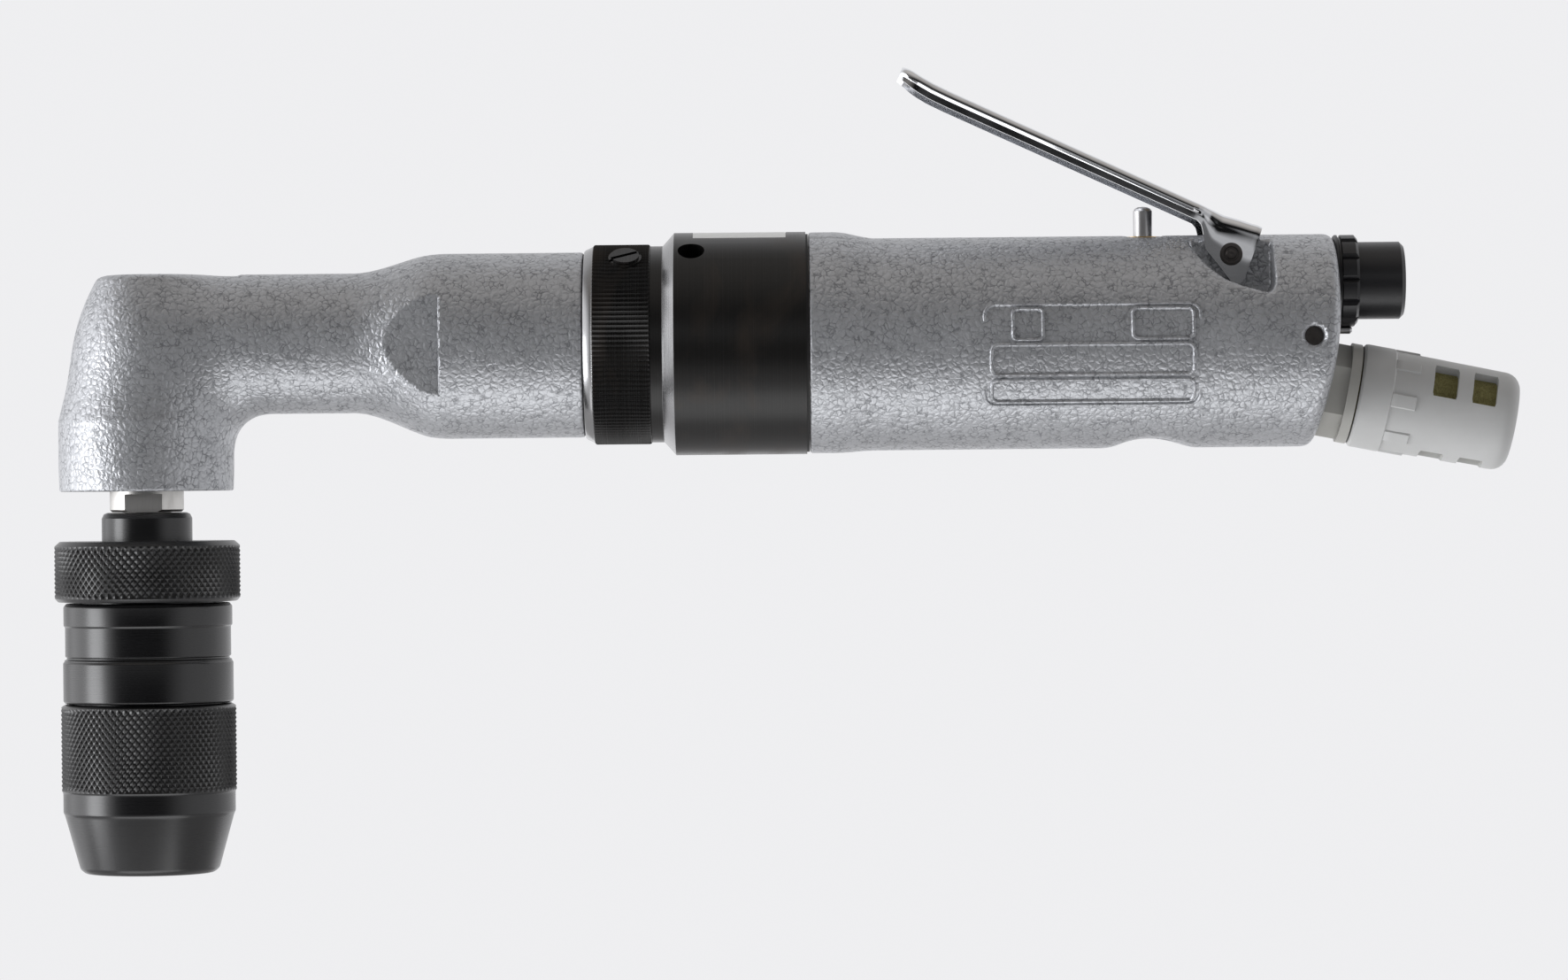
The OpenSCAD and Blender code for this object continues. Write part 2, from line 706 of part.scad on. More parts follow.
// raised lines of the blank name plate on the side of the grip
module nameplate() {
  top = 6.8;
  low = -14.4;
  color(silver) intersection() {
    translate([0, 0, grip_z]) ring_x(49.5, 93.7, grip_r + 0.35, grip_r);
    union() {
      for (z = [top, -1, -7.8, -8.9, low + 0.5])
        slab_y([[49.5, z], [93.7, z], [93.7, z - 0.5], [49.5, z - 0.5]], -40, 0);
      for (x = [49.5, 93.2])
        slab_y([[x, low], [x + 0.5, low], [x + 0.5, top], [x, top]], -40, 0);
      for (x = [55, 61.5, 79.5, 91.5])
        slab_y([[x, -1], [x + 0.5, -1], [x + 0.5, top], [x, top]], -40, 0);
    }
  }
}

module retaining_pin() {
  color(steel) translate([rear_x - 5.7, -12, 0]) rotate([90, 0, 0]) cylinder(r = 1.9, h = 7.6);
}

// throttle

module throttle_lever() {
  wide = lug_half + 0.15 + lever_sheet;
  inner = lug_half + 0.15;
  under = 5.57;
  over = under + lever_sheet;
  tip = lever_len;
  color(bright) on_lever() difference() {
    slab_y([[-3.7, over + 1], [0.8, over + 0.65], [5, over], [tip - 10, over],
      [tip - 5, over + 0.3], [tip - 1.8, over + 1.5], [tip - 0.9, over + 0.9],
      [tip - 1.2, over - 0.2], [tip - 4.5, over - 2.2], [tip - 9, over - 3.3],
      [9.2, over - 3.3], [7.4, over - 4.4], [5.5, over - 7.3], [-2.2, over - 11.8],
      [-3.3, over - 12.1], [-4.3, over - 11.7], [-4.7, over - 10.6]], -wide, wide);
    slab_y([[-12, -10], [-12, under + 1.1], [-3.7, under + 1.05], [0.5, under + 0.7],
      [5, under], [tip - 9.6, under],
      [tip - 5.2, under + 0.2], [tip - 3, under + 1], [tip, under + 2 - 3], [tip + 3, -10]],
      -inner, inner);
    translate([0, wide + 1, 0]) rotate([90, 0, 0]) cylinder(r = 1.6 + run_fit, h = 2 * wide + 2);
    for (side = [-1, 1])
      translate([tip, side * wide, -1]) rotate([0, 0, 45]) cube([2.8, 2.8, 30], center = true);
  }
}

module lever_pin() {
  half = lug_half + lever_sheet + 0.5;
  color(steel) translate([pivot_x, half, pivot_z]) rotate([90, 0, 0]) cylinder(r = 1.6, h = 2 * half);
}

module valve_pin() {
  color(bright) translate([valve_x, 0, 0]) rotate_extrude() polygon([[0, valve_seat_z - 3.5],
    [4.3, valve_seat_z - 3.5], [4.6, valve_seat_z - 1.6], [3.9, valve_seat_z - 0.3],
    [valve_pin_r, valve_seat_z - 0.3], [valve_pin_r, valve_top - 0.9],
    [valve_pin_r * 0.82, valve_top - 0.4], [valve_pin_r * 0.5, valve_top - 0.1],
    [0, valve_top]]);
}

module valve_bushing() {
  color(brass) translate([valve_x, 0, valve_seat_z + 4]) difference() {
    cylinder(r = 4.5, h = grip_r + grip_z - valve_seat_z - 4.3);
    translate([0, 0, -1]) cylinder(r = valve_pin_r + run_fit, h = 30);
  }
}

module valve_seat() {
  color(brass) translate([valve_x, 0, valve_seat_z]) difference() {
    cylinder(r = valve_bore_r - seat_fit, h = 2);
    translate([0, 0, -1]) cylinder(r = 3.2, h = 5);
  }
}

module valve_plug() {
  z = grip_z - grip_r + groove_depth + 0.3;
  color(steel) translate([valve_x, 0, z]) difference() {
    cylinder(r = valve_bore_r - seat_fit, h = 7);
    translate([0, 0, -1]) cylinder(r = 2.9, h = 4.5, $fn = 6);
  }
}

// zigzag of wire rings standing in for the coil, from the plug up to the valve
module valve_spring() {
  turns = 8;
  foot = grip_z - grip_r + groove_depth + 7.3;
  step = (valve_seat_z - 3.5 - foot - 1.2) / (turns + 1);
  low = foot + 0.6 + step / 2;
  lean = asin(0.43 * step / 3.6);
  color(bright) for (i = [0:turns])
    translate([valve_x, 0, low + step * i]) rotate([0, (i % 2 == 0 ? lean : -lean), 0])
      rotate_extrude() translate([3.6, 0]) circle(r = 0.55);
}

// air fittings

module inlet_ring() {
  front = rear_x + 0.1;
  color(black) translate([0, 0, inlet_z]) difference() {
    turn_x([[front, nipple_r - 1], [front, inlet_ring_r - 0.3], [front + 0.3, inlet_ring_r],
      [front + 0.7, inlet_ring_r], [front + 0.9, inlet_ring_r - 0.5],
      [front + 1.2, inlet_ring_r - 0.5], [front + 1.4, inlet_ring_r],
      [front + 4.2, inlet_ring_r], [front + 4.8, inlet_ring_r - 0.7], [front + 4.8, nipple_r - 1]]);
    for (k = [0:11])
      rotate([30 * k, 0, 0]) translate([front + 1.3, 0, inlet_ring_r + 0.3]) rotate([45, 0, 0])
        translate([0, -0.8, -0.8]) cube([6, 1.6, 1.6]);
    translate([0, 0, 1.65 - inlet_z]) rod_x(front - 1, front + 6, 0.85 + seat_fit);
  }
}

module inlet_nipple() {
  back = rear_x + 4.8 + nipple_len;
  color(black) translate([0, 0, inlet_z]) difference() {
    turn_x([[rear_x - 12.3, 0], [rear_x - 12.3, 6.6], [rear_x + 0.1, 6.6],
      [rear_x + 0.1, nipple_r - 1.02], [rear_x + 4.95, nipple_r - 1.02],
      [rear_x + 4.95, nipple_r], [back - 0.8, nipple_r], [back, nipple_r - 0.8], [back, 0]]);
    rod_x(back - 9, back + 1, 5.72);
    rod_x(back - 10, back - 8.98, 5.9);
    rod_x(rear_x - 14, back, 4.4);
  }
}

module inlet_screen() {
  x = rear_x + 4.8 + nipple_len - 10;
  color(brass) translate([0, 0, inlet_z]) difference() {
    rod_x(x, x + 0.8, 5.9 - seat_fit);
    for (ring = [0:2])
      for (k = [0:max(0, 6 * ring - 1)])
        rotate([ring == 0 ? 0 : 60 * k / ring, 0, 0]) translate([0, 0, 1.6 * ring])
          rod_x(x - 1, x + 2, 0.5);
  }
}

module inlet_lock_pin() {
  color(bright) translate([0, 0, 1.65]) turn_x([[rear_x - 12.3, 0], [rear_x - 12.3, 0.85],
    [rear_x + 3.5, 0.85], [rear_x + 3.9, 0.5], [rear_x + 3.9, 0]]);
}

module muffler_adapter() {
  color(grey) on_muffler() difference() {
    union() {
      translate([0, 0, -14.8]) cylinder(r = 6.6, h = 12);
      translate([0, 0, -5.6]) cylinder(r = 9.81, h = 4.7, $fn = 6);
      translate([0, 0, -1]) cylinder(r = muffler_r - 0.3, h = 2.1);
    }
    translate([0, 0, -16]) cylinder(r = 4.8, h = 20);
  }
}

module muffler_body() {
  wall = 1.6;
  color(grey) on_muffler() difference() {
    union() {
      rotate_extrude() polygon([[0, 1.4], [muffler_r - 0.1, 1.4], [muffler_r + 0.05, 1.8],
        [muffler_r + 0.05, 8], [muffler_r - 0.35, 8.4], [muffler_r - 0.4, 13],
        [muffler_r - 0.55, muffler_len - 5], [muffler_r - 1, muffler_len - 2.4],
        [muffler_r - 2.3, muffler_len - 0.9], [muffler_r - 4.5, muffler_len - 0.2],
        [0, muffler_len]]);
      intersection() {
        for (k = [0:7])
          rotate([0, 0, 45 * k]) translate([0, -1.35, 7]) cube([20, 2.7, 6.2]);
        cylinder(r = muffler_r, h = 20);
      }
    }
    translate([0, 0, 1]) cylinder(r = muffler_r - 0.4 - wall, h = muffler_len - 3);
    for (turn = [126, 246, 6])
      for (s = [18.8, 27])
        rotate([0, 0, turn]) translate([0, -4.05, s - 2.55]) cube([20, 8.1, 5.1]);
  }
}

module muffler_felt() {
  color([0.55, 0.5, 0.25]) on_muffler() difference() {
    translate([0, 0, 1.3]) cylinder(r = muffler_r - 2.1, h = muffler_len - 3.6);
    translate([0, 0, 0]) cylinder(r = muffler_r - 5.1, h = muffler_len - 5);
  }
}

angle_head();
bearing_cap();
spindle_bearing();
spindle_top_bush();
pinion_bearing_front();
pinion_bearing_rear();
bearing_spacer();
bearing_nut();
spindle();
bevel_gear();
chuck_body();
chuck_grip_ring();
chuck_sleeve();
chuck_hood();
chuck_feed_screw();
jaw_1();
jaw_2();
jaw_3();
bevel_pinion();
clamp_nut();
nut_screw();
gear_case();
case_sticker();
case_gasket();
ring_gear();
carrier_bearing();
planet_carrier();
planet_pins();
planet_gear_1();
planet_gear_2();
planet_gear_3();
rotor();
rotor_vanes();
cylinder_liner();
front_end_plate();
rear_end_plate();
front_bearing();
rear_bearing();
motor_housing();
nameplate();
retaining_pin();
throttle_lever();
lever_pin();
valve_pin();
valve_bushing();
valve_seat();
valve_spring();
valve_plug();
inlet_ring();
inlet_nipple();
inlet_screen();
inlet_lock_pin();
muffler_adapter();
muffler_body();
muffler_felt();
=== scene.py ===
# Looks of the air drill: castings, knurls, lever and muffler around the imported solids.
import math

import bpy
import numpy as np
from mathutils import Matrix, Vector


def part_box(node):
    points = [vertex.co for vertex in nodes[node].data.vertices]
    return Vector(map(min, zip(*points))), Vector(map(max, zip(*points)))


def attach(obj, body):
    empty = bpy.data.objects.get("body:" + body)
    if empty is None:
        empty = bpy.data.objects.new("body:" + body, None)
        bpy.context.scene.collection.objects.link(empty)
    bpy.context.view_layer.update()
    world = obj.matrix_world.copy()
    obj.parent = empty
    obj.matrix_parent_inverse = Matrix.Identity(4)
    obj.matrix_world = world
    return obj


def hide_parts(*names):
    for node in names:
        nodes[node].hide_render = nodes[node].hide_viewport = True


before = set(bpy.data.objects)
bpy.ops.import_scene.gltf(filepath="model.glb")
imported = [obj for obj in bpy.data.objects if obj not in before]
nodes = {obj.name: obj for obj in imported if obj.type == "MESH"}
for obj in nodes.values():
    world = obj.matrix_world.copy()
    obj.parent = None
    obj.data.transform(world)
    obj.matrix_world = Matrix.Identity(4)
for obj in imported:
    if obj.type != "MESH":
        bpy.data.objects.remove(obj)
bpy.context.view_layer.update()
scene = bpy.context.scene
scene.view_settings.view_transform = "Standard"
mm = 0.001


# Camera, light and floor

view = {"lens": 133, "distance": 1.2, "aimX": 8.5, "aimZ": -30.4, "roll": 0.0096}


def placeCamera():
    cameraData = bpy.data.cameras.new("camera")
    cameraData.lens = view["lens"]
    cameraData.sensor_width = 36
    cameraData.clip_end = 20
    camera = bpy.data.objects.new("camera", cameraData)
    scene.collection.objects.link(camera)
    right = Vector((1, 0, -view["roll"])).normalized()
    up = Vector((view["roll"], 0, 1)).normalized()
    back = Vector((0, -1, 0))
    turn = Matrix((right, up, back)).transposed().to_4x4()
    place = Vector((view["aimX"] * mm, -view["distance"], view["aimZ"] * mm))
    camera.matrix_world = Matrix.Translation(place) @ turn
    scene.camera = camera


placeCamera()
print("stage: camera")


# Shader maths: a Wire is a socket that takes part in sums, a Paint is one material's nodes

class Wire:
    def __init__(self, paint, socket):
        self.paint = paint
        self.socket = socket

    def maths(self, operation, *values):
        return self.paint.add("ShaderNodeMath", {"operation": operation}, dict(enumerate(values)))

    def __add__(self, other):
        return self.maths("ADD", self, other)

    def __radd__(self, other):
        return self.maths("ADD", other, self)

    def __sub__(self, other):
        return self.maths("SUBTRACT", self, other)

    def __rsub__(self, other):
        return self.maths("SUBTRACT", other, self)

    def __mul__(self, other):
        return self.maths("MULTIPLY", self, other)

    def __rmul__(self, other):
        return self.maths("MULTIPLY", other, self)

    def __truediv__(self, other):
        return self.maths("DIVIDE", self, other)

    def __neg__(self):
        return self.maths("MULTIPLY", self, -1.0)

    def __pow__(self, other):
        return self.maths("POWER", self, other)

    # 0 below low, 1 above high, straight between
    def ramp(self, low, high):
        return self.paint.add("ShaderNodeMapRange", {"clamp": True},
                              {0: self, 1: low, 2: high, 3: 0.0, 4: 1.0})

    def least(self, other):
        return self.maths("MINIMUM", self, other)

    def most(self, other):
        return self.maths("MAXIMUM", self, other)


class Paint:
    def __init__(self, name, fixed=None, world=None):
        self.material = world or bpy.data.materials.new(name)
        self.material.use_nodes = True
        self.tree = self.material.node_tree
        self.tree.nodes.clear()
        ends = ("World", "Background") if world else ("Material", "BsdfPrincipled")
        self.output = self.tree.nodes.new("ShaderNodeOutput" + ends[0])
        self.shader = self.tree.nodes.new("ShaderNode" + ends[1])
        self.tree.links.new(self.shader.outputs[0], self.output.inputs[0])
        for key, value in (fixed or {}).items():
            self.shader.inputs[key].default_value = value
        self.place = self.add("ShaderNodeTexCoord", {}, {}, "Generated" if world else "Object")

    # one node: its settings first, then the values or links of its sockets
    def add(self, kind, settings, values, output=0):
        node = self.tree.nodes.new(kind)
        for key, value in settings.items():
            setattr(node, key, value)
        for key, value in values.items():
            self.join(node.inputs[key], value)
        return Wire(self, node.outputs[output])

    def join(self, socket, value):
        if isinstance(value, Wire):
            self.tree.links.new(value.socket, socket)
        else:
            socket.default_value = value

    def feed(self, name, value):
        self.join(self.shader.inputs[name], value)

    def noise(self, scale, detail=3.0, rough=0.55, where=None, twist=0.0):
        return self.add("ShaderNodeTexNoise", {}, {"Vector": where or self.place, "Scale": scale,
                        "Detail": detail, "Roughness": rough, "Distortion": twist}, "Fac")

    def cells(self, scale, feature="F1", where=None, random=1.0, output="Distance"):
        return self.add("ShaderNodeTexVoronoi", {"feature": feature},
                        {"Vector": where or self.place, "Scale": scale, "Randomness": random}, output)

    # place moved by a noise of the given scale, up to reach metres
    def wander(self, scale, reach):
        push = self.add("ShaderNodeTexNoise", {}, {"Vector": self.place, "Scale": scale, "Detail": 2.0}, "Color")
        push = self.add("ShaderNodeVectorMath", {"operation": "SUBTRACT"}, {0: push, 1: (0.5, 0.5, 0.5)})
        push = self.add("ShaderNodeVectorMath", {"operation": "SCALE"}, {0: push, "Scale": 2 * reach})
        return self.add("ShaderNodeVectorMath", {"operation": "ADD"}, {0: self.place, 1: push})

    def stretch(self, x, y, z):
        return self.add("ShaderNodeMapping", {}, {"Vector": self.place, "Scale": (x, y, z)})

    def parts(self):
        split = self.tree.nodes.new("ShaderNodeSeparateXYZ")
        self.join(split.inputs[0], self.place)
        return [Wire(self, out) for out in split.outputs]

    def blend(self, share, low, high):
        node = self.tree.nodes.new("ShaderNodeMix")
        node.data_type = "RGBA"
        self.join(node.inputs["Factor"], share)
        self.join(node.inputs[6], low if isinstance(low, Wire) else (*low, 1))
        self.join(node.inputs[7], high if isinstance(high, Wire) else (*high, 1))
        return Wire(self, node.outputs[2])

    def bump(self, height, depth, strength=1.0, under=None):
        values = {"Height": height, "Distance": depth, "Strength": strength}
        if under is not None:
            values["Normal"] = under
        return self.add("ShaderNodeBump", {}, values)


# Silver hammertone enamel: domed pebbles about a millimetre wide, parted by thin broken dark lines

hammertone = {"pebbles": 760, "pale": (0.47, 0.48, 0.5), "dark": (0.16, 0.165, 0.175), "dent": 0.00016}


def makeHammertone(name):
    paint = Paint(name, {"Metallic": 0.6, "Specular IOR Level": 0.5})
    bent = paint.wander(1100, 0.00055)
    edge = paint.cells(hammertone["pebbles"], "DISTANCE_TO_EDGE", bent)
    broken = paint.noise(520, 3).ramp(0.36, 0.6)
    line = (1 - edge.ramp(0.01, 0.13)) * broken
    pit = paint.noise(1350, 3, 0.6).ramp(0.56, 0.72)
    net = line.most(pit * 0.35)
    cloud = paint.noise(55, 2).ramp(0.3, 0.7)
    pale = paint.blend(cloud, tuple(0.92 * c for c in hammertone["pale"]), hammertone["pale"])
    paint.feed("Base Color", paint.blend(net * 0.85, pale, hammertone["dark"]))
    paint.feed("Roughness", 0.33 + 0.16 * net + 0.04 * cloud)
    swell = edge.ramp(0, 0.42) * 0.55 + paint.noise(620, 2) * 0.75 + paint.noise(1900, 2) * 0.12
    paint.feed("Normal", paint.bump(swell, hammertone["dent"]))
    return paint.material


# Black oxide on turned steel: near black, fine tool rings across the axis, a brown bloom drawn out round the turn,
# and a band between two x whose colour is made pale and more metallic

blackOxide = {"dark": (0.011, 0.0105, 0.01), "brown": (0.036, 0.026, 0.019), "pale": (0.055, 0.055, 0.057),
              "paleBand": (0.34, 0.34, 0.345)}


def makeBlackOxide(name, along="x", rings=5200, shine=0.27, bare=0.2, paleSpan=(0, 1)):
    paint = Paint(name, {"Specular IOR Level": 0.5})
    x, y, z = paint.parts()
    # band between the two x of the span: its colour is made pale and more metallic and its roughness lower
    paleBand = x.ramp(paleSpan[0] * mm, (paleSpan[0] + 0.15) * mm) * (1 - x.ramp((paleSpan[1] - 0.15) * mm, paleSpan[1] * mm))
    line = {"x": x, "z": z}[along]
    ring = paint.add("ShaderNodeTexNoise", {"noise_dimensions": "1D"}, {"W": line * rings, "Scale": 1.0, "Detail": 3.0}, "Fac")
    bloom = paint.noise(75, 4, 0.6, paint.stretch(1, 0.5, 0.5), 0.6).ramp(0.5, 0.74)
    speck = paint.noise(2600, 2).ramp(0.6, 0.8)
    color = paint.blend(bloom * 0.7, blackOxide["dark"], blackOxide["brown"])
    color = paint.blend(ring.ramp(0.5, 0.8) * bare + speck * 0.12, color, blackOxide["pale"])
    color = paint.blend(paleBand * (0.75 + 0.25 * ring), color, blackOxide["paleBand"])
    paint.feed("Base Color", color)
    paint.feed("Metallic", 0.4 + 0.55 * paleBand)
    paint.feed("Roughness", shine + 0.1 * ring + 0.1 * bloom - 0.08 * paleBand)
    paint.feed("Normal", paint.bump(ring + speck * 0.3, 0.000008, 0.8))
    return paint.material


# Satin black of the chuck: fine rings, sparse dust and a faint cloud in the sheen

def makeChuckBlack(name, rings=True):
    paint = Paint(name, {"Specular IOR Level": 0.6})
    x, y, z = paint.parts()
    ring = paint.add("ShaderNodeTexNoise", {"noise_dimensions": "1D"}, {"W": z * 4200, "Scale": 1.0, "Detail": 3.0}, "Fac")
    dust = paint.noise(2400, 2).ramp(0.62, 0.85)
    cloud = paint.noise(90, 3)
    paint.feed("Base Color", paint.blend(dust * 0.3 + cloud * 0.2, (0.0025, 0.0025, 0.003), (0.011, 0.011, 0.012)))
    paint.feed("Roughness", (0.2 if rings else 0.22) + 0.07 * ring + 0.06 * cloud)
    paint.feed("Normal", paint.bump(ring if rings else dust, 0.000006, 0.7))
    return paint.material


# Plain metals: a colour, a roughness and fine scratches drawn out along an axis

metals = {
    "brightSteel": {"color": (0.55, 0.55, 0.56), "shade": (0.36, 0.35, 0.34), "rough": 0.24, "pull": (3000, 3000, 200)},
    "groundSteel": {"color": (0.62, 0.61, 0.59), "shade": (0.42, 0.41, 0.39), "rough": 0.3, "pull": (2200, 300, 300)},
    "gearSteel": {"color": (0.34, 0.34, 0.35), "shade": (0.2, 0.19, 0.19), "rough": 0.35, "pull": (900, 900, 900)},
    "springWire": {"color": (0.4, 0.4, 0.42), "shade": (0.25, 0.24, 0.24), "rough": 0.3, "pull": (1500, 1500, 1500)},
    "brass": {"color": (0.66, 0.45, 0.17), "shade": (0.45, 0.28, 0.1), "rough": 0.28, "pull": (1800, 400, 400)},
    "chrome": {"color": (0.80, 0.81, 0.83), "shade": (0.70, 0.71, 0.73), "rough": 0.06, "pull": (160, 900, 900),
               "dent": 0.12},
    "darkScrew": {"color": (0.13, 0.12, 0.115), "shade": (0.05, 0.045, 0.04), "rough": 0.3, "pull": (1500, 1500, 1500)},
}


def makeMetal(name):
    card = metals[name]
    paint = Paint(name, {"Metallic": 1.0})
    drawn = paint.add("ShaderNodeTexNoise", {}, {"Vector": paint.stretch(*card["pull"]), "Scale": 1.0, "Detail": 3.0}, "Fac")
    smear = paint.noise(110, 3).ramp(0.4, 0.75)
    paint.feed("Base Color", paint.blend(smear * 0.6 + drawn.ramp(0.5, 0.8) * 0.3, card["color"], card["shade"]))
    paint.feed("Roughness", card["rough"] + 0.1 * drawn * card["rough"] * 4 + 0.06 * smear)
    paint.feed("Normal", paint.bump(drawn, 0.000006, card.get("dent", 0.6)))
    return paint.material


# Moulded grey plastic: a fine matt grain and faint flow clouds

def makePlastic(name, color, rough=0.5, grain=2600):
    paint = Paint(name, {"Specular IOR Level": 0.45})
    cloud = paint.noise(70, 3)
    speck = paint.noise(grain, 2)
    darker = tuple(0.86 * c for c in color)
    paint.feed("Base Color", paint.blend(cloud.ramp(0.35, 0.7) * 0.6 + speck * 0.2, color, darker))
    paint.feed("Roughness", rough + 0.12 * (speck - 0.5) + 0.05 * cloud)
    paint.feed("Normal", paint.bump(speck, 0.00002, 0.5))
    return paint.material


# Felt of the silencer: olive fibres, crossed by darker strands

def makeFelt(name):
    paint = Paint(name, {"Roughness": 0.95, "Specular IOR Level": 0.15})
    fibre = paint.noise(1500, 4, 0.7, paint.stretch(1, 1, 0.35), 2.0)
    strand = paint.noise(3200, 3, 0.6, None, 4.0).ramp(0.42, 0.6)
    paint.feed("Base Color", paint.blend(fibre.ramp(0.3, 0.7), (0.19, 0.17, 0.06), (0.48, 0.44, 0.2)))
    paint.feed("Normal", paint.bump(fibre * 0.7 + strand * 0.5, 0.0003, 0.9))
    return paint.material


# Blank white label: faint paper mottle and a soft sheen

def makeLabel(name):
    paint = Paint(name, {"Specular IOR Level": 0.4})
    mottle = paint.noise(900, 4)
    paint.feed("Base Color", paint.blend(mottle, (0.74, 0.75, 0.74), (0.86, 0.87, 0.86)))
    paint.feed("Roughness", 0.42 + 0.1 * mottle)
    paint.feed("Normal", paint.bump(mottle, 0.00001, 0.5))
    return paint.material


finish = {
    "hammertone": makeHammertone("hammertone"),
    "blackOxide": makeBlackOxide("blackOxide", paleSpan=(-16.2, -13.65)),
    "nutBlack": makeBlackOxide("nutBlack", shine=0.22, bare=0.45, paleSpan=(-32.6, -30.4)),
    "chuckBlack": makeChuckBlack("chuckBlack"),
    "knurlBlack": makeChuckBlack("knurlBlack", rings=False),
    "greyPlastic": makePlastic("greyPlastic", (0.54, 0.545, 0.54)),
    "adapterGrey": makePlastic("adapterGrey", (0.42, 0.417, 0.39), 0.42),
    "fittingBlack": makePlastic("fittingBlack", (0.016, 0.016, 0.018), 0.34, 1800),
    "gasket": makePlastic("gasket", (0.02, 0.02, 0.02), 0.6),
    "vaneBrown": makePlastic("vaneBrown", (0.22, 0.13, 0.06), 0.6, 1400),
    "felt": makeFelt("felt"),
    "label": makeLabel("label"),
}
for metal in metals:
    finish[metal] = makeMetal(metal)
print("stage: finishes", len(finish))


# Meshes: every new piece is worked out in millimetres and stored in metres

def storePiece(name, points, faces, paint, body, stands, normals=None):
    # six times the volume is the sum of a . (b x c) over the faces; if it comes out negative they face inwards
    a, b, c, d = (points[faces[:, k]] for k in range(4))
    volume = (np.cross(b - a, c - a) * a).sum() + (np.cross(c - a, d - a) * a).sum()
    if volume < 0:
        faces = faces[:, ::-1]
    mesh = bpy.data.meshes.new(name)
    mesh.from_pydata((points * mm).tolist(), [], faces.tolist())
    mesh.polygons.foreach_set("use_smooth", np.ones(len(mesh.polygons), bool))
    mesh.materials.append(finish[paint])
    mesh.update()
    if normals is None:
        mesh.set_sharp_from_angle(angle=math.radians(32))
    else:
        mesh.normals_split_custom_set_from_vertices(normals.tolist())
    piece = bpy.data.objects.new(name, mesh)
    scene.collection.objects.link(piece)
    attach(piece, body)
    if stands:
        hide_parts(*stands)
    print("piece:", name, len(points), "points", len(faces), "faces")
    return piece


# quads of a grid of rows times columns, the columns closing on themselves if asked
def gridFaces(rows, columns, around=True):
    r = np.arange(rows - 1)[:, None]
    c = np.arange(columns if around else columns - 1)[None, :]
    n = (c + 1) % columns
    quads = np.stack([r * columns + c, r * columns + n, (r + 1) * columns + n, (r + 1) * columns + c], -1)
    return quads.reshape(-1, 4)


# profile turned about an axis: the point of row i and column j lies at radius r(i) and angle 2 pi j / n,
# plus a relief that may raise the radius at each row and column; rows run so that faces look outwards
def latheGrid(profile, columns, relief=None, phase=0.0):
    profile = np.asarray(profile, float)
    angle = 2 * np.pi * np.arange(columns) / columns + phase
    radius = np.repeat(profile[:, 1:2], columns, 1)
    if relief is not None:
        radius = radius + relief(profile[:, 0:1], angle[None, :])
    height = np.repeat(profile[:, 0:1], columns, 1)
    return np.stack([radius * np.cos(angle), radius * np.sin(angle), height], -1)


def onSpindle(grid):
    return grid.reshape(-1, 3) + np.array([spindleX, 0, 0])


# turns a grid made about Z so that it lies about the motor axis, X: z becomes x
def onMotor(grid):
    flat = grid.reshape(-1, 3)
    return np.stack([flat[:, 2], flat[:, 1], -flat[:, 0]], -1)


# rounds the corners of a profile: each inner corner gives way to an arc-like curve of the given reach
def softProfile(points, reach=0.4, steps=3):
    points = np.asarray(points, float)
    before, here, after = points[:-2], points[1:-1], points[2:]
    back = before - here
    ahead = after - here
    lengthBack = np.linalg.norm(back, axis=1, keepdims=True)
    lengthAhead = np.linalg.norm(ahead, axis=1, keepdims=True)
    start = here + back / lengthBack * np.minimum(reach, lengthBack * 0.45)
    end = here + ahead / lengthAhead * np.minimum(reach, lengthAhead * 0.45)
    t = np.linspace(0, 1, steps + 1)[None, :, None]
    curve = (1 - t) ** 2 * start[:, None] + 2 * t * (1 - t) * here[:, None] + t ** 2 * end[:, None]
    return np.concatenate([points[:1], curve.reshape(-1, 2), points[-1:]])


# Castings are skins of a field: below 0 inside, above 0 outside, near to a distance in millimetres

def softUnion(a, b, k):
    h = np.maximum(k - np.abs(a - b), 0) / k
    return np.minimum(a, b) - h * h * k / 4


def softBoth(a, b, k):
    return -softUnion(-a, -b, k)


def between(value, low, high):
    return np.maximum(low - value, value - high)


# slope of the field at each point, by small steps each way along X, Y and Z
def fieldSlope(field, p, step=0.02):
    out = np.empty_like(p)
    for k in range(3):
        d = np.zeros(3)
        d[k] = step
        out[:, k] = (field(*(p + d).T) - field(*(p - d).T)) / (2 * step)
    return out


